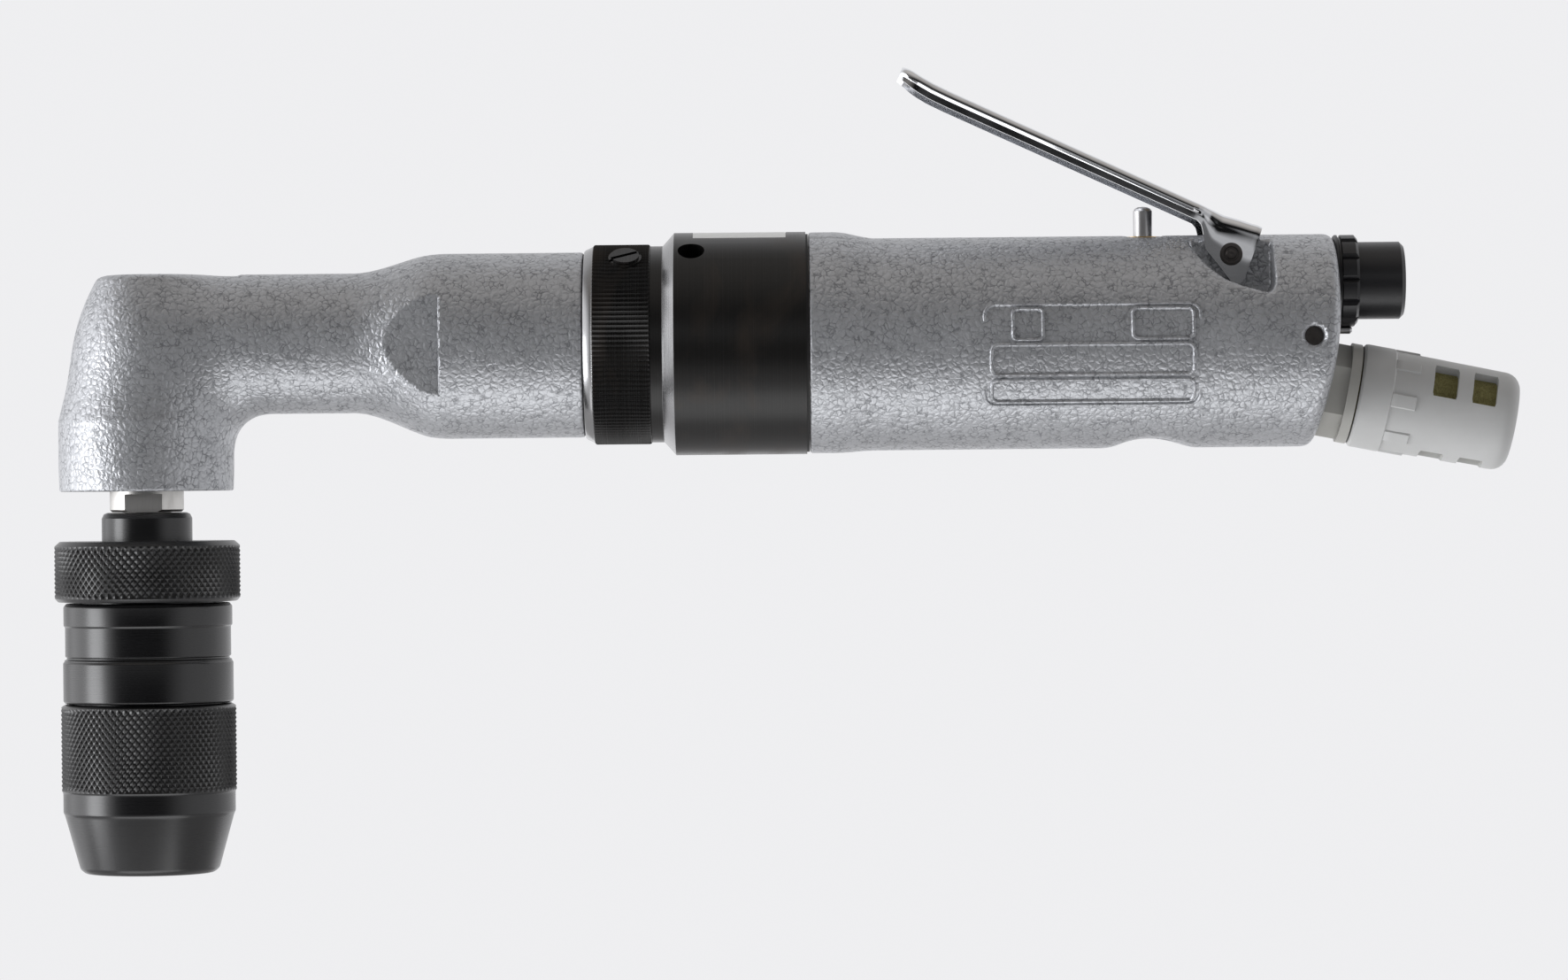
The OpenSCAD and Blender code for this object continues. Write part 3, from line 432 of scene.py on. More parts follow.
# skin of a field: one point in each grid cell that the surface crosses, drawn onto the surface along the
# field's slope, and one quad round each grid edge whose ends lie on different sides
def skinField(field, low, high, cell):
    axes = [np.arange(a, b + cell, cell) for a, b in zip(low, high)]
    inside = field(*np.meshgrid(*axes, indexing="ij")) < 0
    count = sum(inside[i:i + inside.shape[0] - 1, j:j + inside.shape[1] - 1, k:k + inside.shape[2] - 1].astype(np.int8)
                for i in (0, 1) for j in (0, 1) for k in (0, 1))
    crossed = (count > 0) & (count < 8)
    number = np.full(crossed.shape, -1)
    number[crossed] = np.arange(crossed.sum())
    p = np.argwhere(crossed) * cell + np.array(low) + cell / 2
    quads = []
    for axis in range(3):
        a = np.moveaxis(inside, axis, 0)
        n = np.moveaxis(number, axis, 0)
        change = (a[:-1, 1:-1, 1:-1] != a[1:, 1:-1, 1:-1])
        quad = np.stack([n[:, :-1, :-1], n[:, 1:, :-1], n[:, 1:, 1:], n[:, :-1, 1:]], -1)[change]
        outward = a[:-1, 1:-1, 1:-1][change] == (axis != 1)
        quad[~outward] = quad[~outward][:, ::-1]
        quads.append(quad)
    faces = np.concatenate(quads)
    for turn in range(7):
        value = field(*p.T)
        slope = fieldSlope(field, p)
        size = np.maximum((slope ** 2).sum(1), 0.2)
        p = p - np.clip(value / size, -cell, cell)[:, None] * slope * 0.95
        if turn < 3:
            ends = np.concatenate([faces, np.roll(faces, 1, 1)])
            total = np.zeros_like(p)
            weight = np.zeros(len(p))
            np.add.at(total, ends[:, 0], p[ends[:, 1]])
            np.add.at(weight, ends[:, 0], 1)
            for k in (1, 2, 3):
                np.add.at(total, ends[:, k], p[ends[:, (k + 1) % 4]])
                np.add.at(weight, ends[:, k], 1)
            mean = total / np.maximum(weight, 1)[:, None]
            normal = slope / np.sqrt(size)[:, None]
            drift = mean - p
            p = p + 0.5 * (drift - (drift * normal).sum(1, keepdims=True) * normal)
    slope = fieldSlope(field, p)
    normal = slope / np.maximum(np.linalg.norm(slope, axis=1, keepdims=True), 1e-6)
    return p, faces, normal


def boxOf(node):
    low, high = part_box(node)
    return np.array(low) / mm, np.array(high) / mm


spindleX = float(sum(corner[0] for corner in boxOf("spindle")) / 2)
caseR = float(boxOf("gear_case")[1][1])


# Angle head: barrel and neck grow into each other, the neck swells to the wide body with its spanner flats

head = {"barrel": 18.1, "top": 15.2, "bottom": -29.4, "neck": 14.45, "neckLift": 0.8, "fillet": 8.5,
        "wide": 19.45, "flat": 16.0, "flatEnd": -61.8, "cell": 0.55}


def headOutside(x, y, z):
    # barrel: radius runs with height; neck: round, swelling to the wide body as a
    # smooth step in x, and closed by a ball near the spindle axis
    rho = np.hypot(x - spindleX, y)
    wall = np.interp(z, [head["bottom"], -24, -14.8, -11, 13.6, 16], [17.95, 18.1, 18.05, 17.1, 9.3, 8.5])
    barrel = softBoth((rho - wall) * 0.96, z - head["top"], 2.6)
    barrel = softBoth(barrel, head["bottom"] - z, 0.5)
    share = np.clip((x + 80.5) / 20, 0, 1)
    share = share * share * (3 - 2 * share)
    beyond = np.minimum(x - spindleX - 2.5, 0)
    neck = np.sqrt(y * y + beyond * beyond + (z - head["neckLift"] * (1 - share)) ** 2)
    neck = neck - head["neck"] - (head["wide"] - head["neck"]) * share
    neck = softBoth(neck * 0.95, np.hypot(y, z) - head["wide"], 1.2)
    outer = softUnion(barrel, neck, head["fillet"])
    outer = softBoth(outer, z - np.interp(x, [-104, -96], [15.3, 30]), 1.2)
    outer = np.maximum(outer, -np.maximum(np.maximum(head["flat"] - np.abs(y), x - head["flatEnd"]), -84 - x))
    r = np.hypot(y, z)
    steps = np.minimum(np.maximum(r - 16.0, x + 28.8), np.maximum(r - 17.4, between(x, -28.8, -26.5)))
    steps = np.minimum(steps, np.maximum(r - 14.95, x + 20))
    return np.minimum(softBoth(outer, x + 32.45, 0.7), np.maximum(steps, -34 - x))


def headField(x, y, z):
    rho = np.hypot(x - spindleX, y)
    r = np.hypot(y, z)
    hollow = np.maximum(rho - 14.02, z + 14)
    cone = np.interp(z, [-15, -8, 5.5, 6.5, 12.9], [13, 12.9, 6.6, 5.02, 5.02])
    hollow = np.minimum(hollow, np.maximum((rho - cone) * 0.9, between(z, -15, 13)))
    hollow = np.minimum(hollow, np.maximum(r - 10.5, between(x, spindleX + 5, -101)))
    hollow = np.minimum(hollow, np.maximum(r - 11.02, between(x, -102, -53)))
    hollow = np.minimum(hollow, np.maximum(r - 13, -53 - x))
    return np.maximum(headOutside(x, y, z), -hollow)


points, faces, normals = skinField(headField, (-143, -20, -31), (-18, 20.2, 20.8), head["cell"])
storePiece("angleHead", points, faces, "hammertone", "head", ["angle_head"], normals)


# Motor housing: round grip, collar, sloping rear face, lever pockets and a hollow across the underside

grip = {"radius": 21.95, "drop": -0.45, "collar": 22.85, "collarEnd": 19.2, "blendEnd": 28.0, "rear": 122.5,
        "lug": 7.65, "scoopX": 84.3, "scoopR": 15.8, "scoopDepth": 2.0, "pinX": 116.8, "cell": 0.6}
muffler = {"x": 125.5, "z": -11.5, "tilt": math.radians(11)}


def alongMuffler(x, y, z):
    # distance along the tilted muffler axis, and distance from it
    dx, dz = x - muffler["x"], z - muffler["z"]
    c, s = math.cos(muffler["tilt"]), math.sin(muffler["tilt"])
    return dx * c - dz * s, np.hypot(dx * s + dz * c, y)


def housingField(x, y, z):
    share = np.clip((x - grip["collarEnd"]) / (grip["blendEnd"] - grip["collarEnd"]), 0, 1)
    share = share * share * (3 - 2 * share)
    radius = grip["collar"] + (grip["radius"] - grip["collar"]) * share
    tube = np.hypot(y, z - grip["drop"] * share) - radius
    lean = (x - grip["rear"]) * math.cos(math.radians(12.5)) - (z + 0.6) * math.sin(math.radians(12.5))
    rear = softBoth(x - grip["rear"], lean, 2.0)
    body = softBoth(tube, rear, 2.4)
    body = softBoth(body, 14.0 - x, 0.6)
    scoop = grip["scoopR"] - np.hypot(x - grip["scoopX"], z - grip["drop"] + grip["radius"] + grip["scoopR"] - grip["scoopDepth"])
    body = softBoth(body, scoop, 1.2)
    floor = np.interp(x, [91.2, 93.2, 96.0, 99.0, 102.6, 108.0, 109.2], [21.5, 17.4, 14.1, 11.8, 10.3, 8.8, 8.8])
    pocket = softBoth(softBoth((floor - z) * 0.75, x - 109.2, 2.4), grip["lug"] - np.abs(y), 0.8)
    body = softBoth(body, -pocket, 0.7)
    r = np.hypot(y, z)
    upper = np.hypot(y, z - 11.8)
    s, rim = alongMuffler(x, y, z)
    hollow = np.minimum(np.maximum(r - 19.05, x - 76.3), np.maximum(r - 20.42, x - 16.1))
    hollow = np.minimum(hollow, np.maximum(upper - 6.62, 110 - x))
    hollow = np.minimum(hollow, np.maximum(rim - 6.62, -15 - s))
    hollow = np.minimum(hollow, np.maximum(rim - 10.6, -5.6 - s))
    valve = np.hypot(x - 83.3, y)
    hollow = np.minimum(hollow, np.maximum(valve - 6.0, z - 14.5))
    hollow = np.minimum(hollow, np.maximum(valve - 4.52, 14.4 - z))
    pin = np.hypot(x - grip["pinX"], z)
    hollow = np.minimum(hollow, np.maximum(pin - 1.95 - np.maximum(-21.2 - y, 0) * 0.9, y + 12))
    return np.maximum(body, -hollow)


points, faces, normals = skinField(housingField, (12.9, -23.6, -23.7), (124.4, 23.8, 23.9), grip["cell"])
storePiece("motorHousing", points, faces, "hammertone", "housing", ["motor_housing"], normals)
print("stage: castings")


# Diamond knurl: two families of grooves cross, and between them stand four-sided points;
# relief = -depth times the larger of the two triangle waves, each running 0 at a ridge to 1 in a groove

def wave(t):
    return np.abs((t % 1.0) * 2 - 1)


def diamond(starts, pitch, depth, low, high, fade=0.6):
    def relief(height, angle):
        a = starts * angle / (2 * np.pi)
        b = height / pitch
        cut = np.maximum(1 - wave(a + b), 1 - wave(a - b))
        edge = np.clip(np.minimum(height - low, high - height) / fade, 0, 1)
        return -depth * (cut * edge + (1 - edge) * 0.0) - 0.25 * depth * (1 - edge)
    return relief


chuck = {"ringR": 19.2, "ringTop": -39.7, "ringFoot": -52.2, "starts": 76, "pitch": 1.82, "depth": 0.46,
         "hoodR": 18.1, "knurlTop": -73.5, "knurlFoot": -91.2, "columns": 608}


def knurlRows(low, high, pitch):
    return np.linspace(low, high, int(round((high - low) / (pitch / 8))) + 1)


def makeGripRing():
    low, high = chuck["ringFoot"], chuck["ringTop"]
    rows = knurlRows(low + 0.75, high - 0.95, chuck["pitch"])
    band = np.stack([rows, np.full_like(rows, chuck["ringR"])], -1)
    profile = np.concatenate([[[low, 14.6], [low, 15.5], [low, 18.3], [low + 0.12, 18.55]], band,
                              [[high - 0.4, 18.5], [high, 18.0], [high, 16], [high, 14.6]]])
    inner = diamond(chuck["starts"], chuck["pitch"], chuck["depth"], rows[0], rows[-1])

    def relief(height, angle):
        return np.where((height >= rows[0]) & (height <= rows[-1]), inner(height, angle), 0)
    grid = latheGrid(profile, chuck["columns"], relief)
    faces = gridFaces(len(profile), chuck["columns"])
    last = len(profile) - 1
    ring = np.arange(chuck["columns"])
    close = np.stack([last * chuck["columns"] + ring, last * chuck["columns"] + (ring + 1) % chuck["columns"], (ring + 1) % chuck["columns"], ring], -1)
    storePiece("gripRing", onSpindle(grid), np.concatenate([faces, close]), "knurlBlack", "spindle",
               ["chuck_grip_ring"])


makeGripRing()


def makeHood():
    low, high = chuck["knurlFoot"], chuck["knurlTop"]
    rows = knurlRows(low, high - 0.4, chuck["pitch"])
    band = np.stack([rows, np.full_like(rows, chuck["hoodR"])], -1)
    nose = softProfile([[-90.6 - 14, 9.35], [-108.3, 8.25], [-108.3, 13.3], [-107.4, 14.35], [-96.2, 17.45],
                        [-95.7, 17.75], [-91.6, 17.75], [-91.2, 18.0]], 0.45, 3)
    top = [[high - 0.2, 17.75], [high, 17.4], [high + 0.15, 17.1], [high + 0.2, 15.4], [-66.1, 15.4], [-66.1, 13.6],
           [-75.3, 13.6], [-76.9, 15.0], [-87.38, 15.0], [-95, 12.52], [-100, 10.9], [-104.6, 9.35]]
    profile = np.concatenate([nose[1:], band, top])
    inner = diamond(chuck["starts"], chuck["pitch"], chuck["depth"], rows[0], rows[-1])

    def relief(height, angle):
        outer = (np.arange(len(profile)) >= len(nose) - 1) & (np.arange(len(profile)) < len(nose) - 1 + len(rows))
        return np.where(outer[:, None], inner(height, angle), 0)
    grid = latheGrid(profile, chuck["columns"], relief)
    faces = gridFaces(len(profile), chuck["columns"])
    last = len(profile) - 1
    ring = np.arange(chuck["columns"])
    close = np.stack([last * chuck["columns"] + ring, last * chuck["columns"] + (ring + 1) % chuck["columns"], (ring + 1) % chuck["columns"], ring], -1)
    storePiece("chuckHood", onSpindle(grid), np.concatenate([faces, close]), "knurlBlack", "hood",
               ["chuck_hood"])


makeHood()


# Sleeve between the knurls: three turned bands with narrow grooves, and a bare inside
def makeSleeve():
    outer = softProfile([[-73.1, 15.45], [-73.1, 17.2], [-72.7, 17.55], [-64.8, 17.55], [-64.5, 17.25],
                         [-64.2, 17.25], [-64.0, 16.75], [-63.6, 16.75], [-63.5, 17.1], [-57.4, 17.1], [-57.1, 17.4],
                         [-53.2, 17.4], [-52.5, 16.8], [-52.5, 13.65]], 0.22, 3)
    inner = [[-65.9, 13.6], [-65.9, 15.42]]
    profile = np.concatenate([outer, inner])
    grid = latheGrid(profile, 192)
    faces = gridFaces(len(profile), 192)
    last = len(profile) - 1
    ring = np.arange(192)
    close = np.stack([last * 192 + ring, last * 192 + (ring + 1) % 192, (ring + 1) % 192, ring], -1)
    storePiece("chuckSleeve", onSpindle(grid), np.concatenate([faces, close]), "chuckBlack", "hood",
               ["chuck_sleeve"])


makeSleeve()


# Clamp nut: fine straight ridges round a ring, with a turned lip; relief = ridge height times a rounded wave
nut = {"front": -32.3, "back": -18.55, "radius": 20.65, "ridges": 130, "depth": 0.42}


def makeNut():
    f, b, R = nut["front"], nut["back"], nut["radius"]
    body = np.array([[f, 16.12], [f, 19.3], [f + 0.3, 19.6], [f + 1.6, 20.2], [f + 1.8, 20.25], [f + 1.95, 20.5],
                     [f + 2.2, R], [f + 5, R], [f + 8, R], [b - 0.5, R], [b - 0.25, 20.5], [b, 20.2], [b, 17.95],
                     [f + 3.2, 17.95], [f + 3.2, 16.12]])
    ribbed = np.array([0, 0, 0, 0, 0, 0.4, 1, 1, 1, 1, 0.4, 0, 0, 0, 0])[:, None]

    def relief(height, angle):
        return -nut["depth"] * ribbed * (1 - wave(nut["ridges"] * angle / (2 * np.pi))) ** 0.7
    columns = nut["ridges"] * 6
    grid = latheGrid(body, columns, relief)
    faces = gridFaces(len(body), columns)
    last = len(body) - 1
    ring = np.arange(columns)
    close = np.stack([last * columns + ring, last * columns + (ring + 1) % columns, (ring + 1) % columns, ring], -1)
    storePiece("clampNut", onMotor(grid), np.concatenate([faces, close])[:, ::-1], "nutBlack", "housing",
               ["clamp_nut"])


makeNut()
print("stage: knurled rings")


# Throttle lever: a channel of bent sheet. The section is carried along the lever: up one cheek, over a rounded
# bend, across the web and down the other cheek; the cheek depth changes along the lever, the rear edge leans,
# and at the tip the web narrows on a quarter circle while the cheeks curl up into it
lever = {"x": 100.9, "z": 17.2, "tilt": math.radians(24.75), "over": 6.87, "half": 9.1, "sheet": 1.3,
         "bend": 1.5, "tip": 77.4, "round": 5.0, "rear": -4.6, "curl": 1.0, "bow": 0.55}


def makeLever():
    s = np.concatenate([np.linspace(lever["rear"], 10.2, 60), np.linspace(11, 68, 44),
                        lever["tip"] - 9.4 * np.cos(np.linspace(0, np.pi / 2, 30)) ** 1.3])
    top = lever["over"] + np.interp(s, [-4, -3.2, 0.8, 4.5, 66, 70, 73, 75.5, 77, 78.5],
                                    [1.0, 1.0, 0.55, 0, 0, 0.1, 0.4, 0.8, 0.8, 0.4])
    depth = np.interp(s, [-4.6, -4.45, -4.1, -3.5, -2.8, -2.1, 5.2, 6.0, 6.6, 7.3, 8.1, 9.2, 69, 72, 74.5, 76.5, 78.0],
                      [11.2, 12.1, 12.7, 13.05, 13.0, 12.75, 8.0, 7.0, 5.9, 4.8, 3.8, 3.3, 3.3, 3.25, 3.1, 2.75, 2.1])
    left = np.clip((lever["tip"] + 0.3 - s) / lever["round"], 0, 1)
    wide = lever["half"] - lever["round"] * 0.75 * (1 - np.sqrt(np.maximum(1 - (1 - left) ** 2, 0)))
    bend = np.minimum(lever["bend"] + 0.9 * np.clip((9 - s) / 4, 0, 1), depth * 0.6)
    turn = np.linspace(0, np.pi / 2, 8)
    side, fall = [], []
    curl = lever["curl"] * np.clip((s - 8.2) / 3, 0, 1) * np.clip(left * 3 - 0.4, 0, 1)
    bow = lever["bow"] * np.clip((10 - s) / 3, 0, 1)
    for t in np.linspace(1, 0, 17)[:-1]:
        side.append(wide - curl * np.interp(t, [0, 0.3, 1], [0, 0.42, 0.17]) - bow * (0.55 - min(t, 0.55)) ** 2 / 0.3025)
        fall.append(bend + (depth - bend) * t)
    for t in turn:
        side.append(wide - bow - bend * (1 - np.cos(t)))
        fall.append(bend * (1 - np.sin(t)))
    for t in np.linspace(1, 0, 7)[1:]:
        side.append((wide - bow - bend) * t)
        fall.append(np.zeros_like(s))
    side, fall = np.stack(side, 1), np.stack(fall, 1)
    side = np.concatenate([side, -side[:, -2::-1]], 1)
    fall = np.concatenate([fall, fall[:, -2::-1]], 1)
    lean = np.clip(1 - (s - lever["rear"]) / 3.0, 0, 1)[:, None] * np.clip(1 - fall / 11.5, 0, 1)
    along = s[:, None] + 0.9 * lean
    up = top[:, None] - fall
    inner = lever["sheet"]
    innerSide = np.sign(side) * np.minimum(np.abs(side), wide[:, None] - inner)
    innerUp = np.minimum(up, top[:, None] - inner)
    innerAlong = np.minimum(along, lever["tip"] - inner)
    rows, columns = side.shape
    outerGrid = np.stack([along, side, up], -1).reshape(-1, 3)
    innerGrid = np.stack([innerAlong, innerSide, innerUp], -1).reshape(-1, 3)
    faces = gridFaces(rows, columns, around=False)
    n = rows * columns
    low = np.concatenate([np.arange(rows) * columns, (rows - 1) * columns + np.arange(1, columns),
                          (np.arange(rows - 1)[::-1]) * columns + columns - 1, np.arange(columns - 2, 0, -1)])
    after = np.roll(low, -1)
    rim = np.stack([low, low + n, after + n, after], -1)
    points = np.concatenate([outerGrid, innerGrid])
    c, sn = math.cos(lever["tilt"]), math.sin(lever["tilt"])
    world = np.stack([lever["x"] - points[:, 0] * c + points[:, 2] * sn, points[:, 1],
                      lever["z"] + points[:, 0] * sn + points[:, 2] * c], -1)
    faces = np.concatenate([faces, faces[:, ::-1] + n, rim])
    piece = storePiece("throttleLever", world, faces, "chrome", "lever", ["throttle_lever"])
    bevel = piece.modifiers.new("edge", "BEVEL")
    bevel.width = 0.35 * mm
    bevel.segments = 3
    bevel.limit_method = "ANGLE"
    bevel.angle_limit = math.radians(50)


# Pivot pin: a turned rod across the lug, its ends upset into thin domed heads with a ring groove;
# the profile runs from one end to the other along Y
def makePivotPin():
    half = float(boxOf("lever_pin")[1][1])
    end = np.array([[half - 0.12, 0.02], [half - 0.06, 0.5], [half - 0.1, 0.95], [half - 0.26, 1.15], [half - 0.26, 1.4],
                    [half - 0.02, 1.55], [half, 1.9], [half - 0.08, 2.3], [half - 0.3, 2.35], [half - 0.3, 1.58]])
    profile = np.concatenate([end, end[::-1] * [-1, 1]])
    grid = latheGrid(profile, 64)
    flat = grid.reshape(-1, 3)
    world = np.stack([flat[:, 0] + lever["x"], flat[:, 2], flat[:, 1] + lever["z"]], -1)
    storePiece("pivotPin", world, gridFaces(len(profile), 64), "darkScrew", "housing", ["lever_pin"])


makePivotPin()
makeLever()
print("stage: lever")


# Muffler: a grid of angle times length round its axis, with window panes left out and an inner wall
shell = {"radius": 10.75, "wall": 1.7, "columns": 264, "pane": 4.05}


def makeMuffler():
    s = np.array([1.45, 1.6, 1.9, 2.3, 5.0, 7.6, 7.95, 8.1, 8.3, 9.5, 11.5, 12.9, 13.15, 13.3, 13.5, 14.2, 15.4,
                  16.25, 16.4, 16.75, 18.8, 20.85, 21.2, 21.35, 22.9, 24.45, 24.6, 24.95, 27, 29.05, 29.4, 29.55,
                  30.3, 31.1, 31.9, 32.7, 33.4, 34.0, 34.4, 34.65, 34.75, 34.75])
    r = np.interp(s, [1.45, 1.9, 2.3, 7.95, 8.3, 14.75, 31.1], [10.1, 10.65, 10.75, 10.75, 10.4, 10.35, 10.15])
    endZone = s > 31.1
    t = np.clip((s - 31.1) / 3.65, 0, 1)
    r = np.where(endZone, 10.15 - 3.7 * (1 - np.sqrt(np.maximum(1 - t ** 2.4, 0))), r)
    r[-3:] = [5.6, 3.0, 0.02]
    angle = 2 * np.pi * np.arange(shell["columns"]) / shell["columns"]
    radius = np.repeat(r[:, None], shell["columns"], 1)
    finger = (np.abs(((angle * 8 / (2 * np.pi) + 0.5) % 1) - 0.5) * 2 * np.pi / 8 * 10.6 < 1.45)
    zone = ((s > 8.1) & (s < 13.25))[:, None]
    radius = np.where(zone & finger[None, :], 10.72, radius)

    def place(radius, s):
        u = radius * np.sin(angle)[None, :]
        v = radius * np.cos(angle)[None, :]
        c, k = math.cos(muffler["tilt"]), math.sin(muffler["tilt"])
        deep = np.repeat(s[:, None], shell["columns"], 1)
        x = muffler["x"] + deep * c + v * k
        z = muffler["z"] - deep * k + v * c
        return np.stack([x, -u, z], -1).reshape(-1, 3)
    outer = place(radius, s)
    innerS = np.minimum(s, 33.2)
    inner = place(np.maximum(np.minimum(r, 10.4) - shell["wall"], 0.02)[:, None] * np.ones_like(radius), innerS)
    rows, columns = radius.shape
    n = rows * columns
    middle = (s[:-1] + s[1:]) / 2
    halfWide = np.minimum(shell["pane"], shell["pane"] - 0.75 + np.minimum(np.minimum(abs(middle - 16.25), abs(middle - 21.35)),
                                                                           np.minimum(abs(middle - 24.45), abs(middle - 29.55))) * 2.2)
    rowOpen = ((middle > 16.25) & (middle < 21.35)) | ((middle > 24.45) & (middle < 29.55))
    faceAngle = (np.arange(columns) + 0.5) * 2 * np.pi / columns
    centres = np.radians([54, 174, 294])[:, None]
    gap = (np.abs((faceAngle[None, :] - centres + np.pi) % (2 * np.pi) - np.pi) * 10.4).min(0)
    gone = rowOpen[:, None] & (gap[None, :] < halfWide[:, None])
    quads = gridFaces(rows, columns).reshape(rows - 1, columns, 4)
    keep = quads[~gone]
    rims = []
    up = np.zeros((rows + 1, columns), bool)
    up[1:rows] = gone
    for i in range(rows - 1):
        for step, edge in ((-1, (0, 1)), (1, (3, 2))):
            neighbour = up[i + 1 + step]
            lip = gone[i] & ~neighbour
            q = quads[i][lip]
            if len(q):
                rims.append(np.stack([q[:, edge[0]], q[:, edge[1]], q[:, edge[1]] + n, q[:, edge[0]] + n], -1)
                            [:, ::(1 if step < 0 else -1)])
    left = gone & ~np.roll(gone, 1, 1)
    right = gone & ~np.roll(gone, -1, 1)
    q = quads[left]
    rims.append(np.stack([q[:, 3], q[:, 0], q[:, 0] + n, q[:, 3] + n], -1))
    q = quads[right]
    rims.append(np.stack([q[:, 1], q[:, 2], q[:, 2] + n, q[:, 1] + n], -1))
    ring = np.arange(columns)
    mouth = np.stack([(ring + 1) % columns, ring, ring + n, (ring + 1) % columns + n], -1)
    faces = np.concatenate([keep, keep[:, ::-1] + n, mouth] + rims)
    storePiece("mufflerBody", np.concatenate([outer, inner]), faces, "greyPlastic", "housing",
               ["muffler_body"])


makeMuffler()
print("stage: muffler")


# Raised frame lines of the blank name plate, laid round the grip: each line is a low rounded ridge along a closed path.
# One loop per frame: left, right, low, top, corner, width, height
plate = {"frame": [(49.6, 93.6, -14.5, 7.0, 2.4, 0.8, 0.42)],
         "rows": [(51.0, 92.3, -7.6, -1.3, 1.4, 0.9, 0.5), (51.0, 92.3, -13.6, -8.7, 1.4, 0.9, 0.5)],
         "cells": [(55.4, 61.5, -0.3, 6.0, 0.9, 0.8, 0.5), (79.8, 92.2, -0.3, 6.0, 1.1, 0.8, 0.5)]}


def roundedLoop(x0, x1, z0, z1, corner, count=10):
    turn = np.linspace(0, np.pi / 2, count)
    corners = [(x1 - corner, z1 - corner, 0), (x0 + corner, z1 - corner, 1), (x0 + corner, z0 + corner, 2),
               (x1 - corner, z0 + corner, 3)]
    arcs = [np.stack([cx + corner * np.cos(turn + k * np.pi / 2), cz + corner * np.sin(turn + k * np.pi / 2)], -1)
            for cx, cz, k in corners]
    return np.concatenate(arcs)


def ridge(path, wide, high):
    # section: a low rounded bump, offset sideways from the closed path and raised off the grip
    ahead = np.roll(path, -1, 0) - np.roll(path, 1, 0)
    ahead /= np.linalg.norm(ahead, axis=1, keepdims=True)
    side = np.stack([ahead[:, 1], -ahead[:, 0]], -1)
    across = np.array([-1.25, -0.9, -0.62, -0.3, 0.3, 0.62, 0.9, 1.25]) * wide / 2
    lift = np.array([-0.4, 0.3, 0.78, 1.0, 1.0, 0.78, 0.3, -0.4]) * high
    flat = path[:, None, :] + side[:, None, :] * across[None, :, None]
    radius = grip["radius"] + np.repeat(lift[None, :], len(path), 0)
    arc = flat[..., 1] / grip["radius"]
    points = np.stack([flat[..., 0], -radius * np.cos(arc), grip["drop"] + radius * np.sin(arc)], -1)
    n, k = len(path), len(across)
    r = np.arange(n)[:, None]
    c = np.arange(k)[None, :]
    quads = np.stack([r * k + c, r * k + (c + 1) % k, (r + 1) % n * k + (c + 1) % k, (r + 1) % n * k + c], -1)
    return points.reshape(-1, 3), quads.reshape(-1, 4)


def makePlate():
    points, faces, start = [], [], 0
    for x0, x1, z0, z1, corner, wide, high in plate["frame"] + plate["rows"] + plate["cells"]:
        p, f = ridge(roundedLoop(x0, x1, z0 + 0.45, z1 + 0.45, corner), wide, high)
        points.append(p)
        faces.append(f + start)
        start += len(p)
    storePiece("namePlate", np.concatenate(points), np.concatenate(faces), "hammertone", "housing",
               ["nameplate"])


makePlate()
print("stage: name plate")


# Finishes of the solids that keep their own shape
kept = {
    "blackOxide": ["gear_case"], "nutBlack": ["nut_screw"], "darkScrew": ["retaining_pin"],
    "chuckBlack": ["chuck_body"], "fittingBlack": ["inlet_ring", "inlet_nipple"],
    "brightSteel": ["inlet_lock_pin", "planet_pins", "bearing_cap", "valve_pin"],
    "groundSteel": ["spindle", "spindle_bearing", "pinion_bearing_front", "pinion_bearing_rear", "carrier_bearing",
                    "front_bearing", "rear_bearing", "bearing_spacer", "bearing_nut", "planet_carrier", "rotor",
                    "cylinder_liner", "front_end_plate", "rear_end_plate", "valve_plug", "chuck_feed_screw",
                    "jaw_1", "jaw_2", "jaw_3"],
    "gearSteel": ["bevel_gear", "bevel_pinion", "ring_gear", "planet_gear_1", "planet_gear_2", "planet_gear_3"],
    "brass": ["spindle_top_bush", "valve_bushing", "valve_seat", "inlet_screen"], "springWire": ["valve_spring"],
    "label": ["case_sticker"], "gasket": ["case_gasket"], "vaneBrown": ["rotor_vanes"],
    "adapterGrey": ["muffler_adapter"], "felt": ["muffler_felt"],
}
for paint, names in kept.items():
    for name in names:
        nodes[name].data.materials.clear()
        nodes[name].data.materials.append(finish[paint])


# Pale floor well below the tool, soft lights and a pale surround that dims overhead
light = {"floorZ": -0.56, "floorR": 1.2}
studio = {"left": 2.0, "below": 2.2, "behind": 0.85, "under": 0.6, "right": 0.85, "front": 0.45, "dark": 0.006, "full": 3.0,
          "above": (0.56, 0.53, 0.505), "seen": (0.86, 0.86, 0.875)}


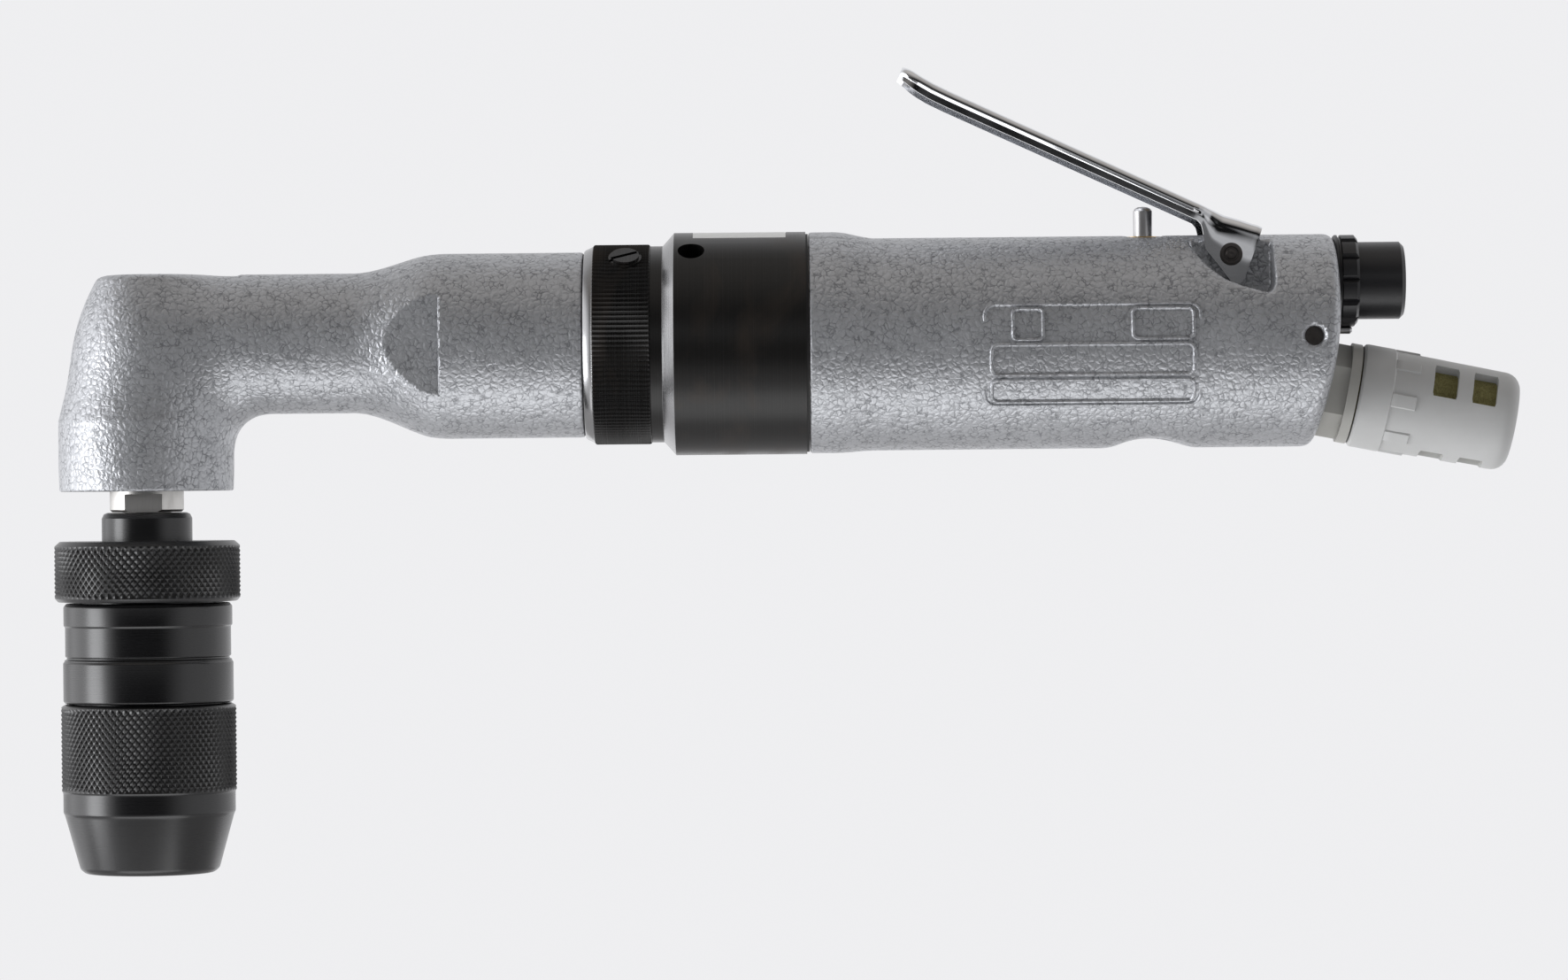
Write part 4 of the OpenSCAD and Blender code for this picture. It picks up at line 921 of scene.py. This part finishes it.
def makeFloor():
    angle = 2 * np.pi * np.arange(96) / 96
    ring = np.stack([np.cos(angle), np.sin(angle), np.zeros(96)], -1)
    points = np.concatenate([ring * 0.0, ring * light["floorR"] * 0.5, ring * light["floorR"]])
    points[:, 2] = light["floorZ"]
    mesh = bpy.data.meshes.new("floor")
    mesh.from_pydata(points.tolist(), [], gridFaces(3, 96)[:, ::-1].tolist())
    paint = Paint("floorPaint", {"Roughness": 0.9})
    paint.feed("Base Color", paint.blend(paint.noise(3, 2), (0.80, 0.80, 0.81), (0.84, 0.84, 0.845)))
    mesh.materials.append(paint.material)
    floor = bpy.data.objects.new("floor", mesh)
    scene.collection.objects.link(floor)


def addLight(name, place, aim, size, power, color):
    lamp = bpy.data.lights.new(name, "AREA")
    lamp.shape = "RECTANGLE"
    lamp.size, lamp.size_y = size
    lamp.energy = power
    lamp.color = color
    thing = bpy.data.objects.new(name, lamp)
    scene.collection.objects.link(thing)
    thing.visible_camera = False
    look = Vector(aim) - Vector(place)
    thing.matrix_world = Matrix.Translation(place) @ look.to_track_quat("-Z", "Y").to_matrix().to_4x4()


# brightness by direction: white card to the left, below and behind, grey to the right, warm dim card overhead,
# and dark towards the viewer's side; what the camera sees past the tool is an even pale tone
def makeWorld():
    scene.world = bpy.data.worlds.new("surround")
    sky = Paint("surround", {}, scene.world)
    x, y, z = sky.parts()
    card = ((-x).ramp(0.64, 0.87) * studio["left"]).most((-z).ramp(0.62, 0.95) * studio["below"])
    card = card.most(y.ramp(-0.1, 0.5) * (studio["behind"] + (-z).ramp(0.0, 0.5) * studio["under"]))
    card = card.most(x.ramp(0.45, 0.85) * studio["right"])
    card = card.most(z.ramp(0.02, 0.1) * (1 - z.ramp(0.25, 0.4)) * (-y).ramp(0.3, 0.6) * studio["front"])
    card = (card + studio["dark"]) * (1 / studio["full"])
    full = (studio["full"], studio["full"], 1.02 * studio["full"])
    color = sky.blend(z.ramp(0.5, 0.95) * (1 - y.ramp(0.0, 0.6)), sky.blend(card, (0, 0, 0), full), studio["above"])
    seen = sky.add("ShaderNodeLightPath", {}, {}, "Is Camera Ray")
    sky.feed("Color", sky.blend(seen, color, studio["seen"]))


makeWorld()
makeFloor()
addLight("lowLight", (-0.05, -0.2, -0.5), (0, 0, 0), (0.7, 0.3), 1.15, (0.98, 0.99, 1.0))
addLight("leftLight", (-1.05, -0.32, -0.28), (-0.1, 0, -0.03), (0.45, 0.8), 6.0, (0.97, 0.98, 1.0))
print("stage: lights and floor")
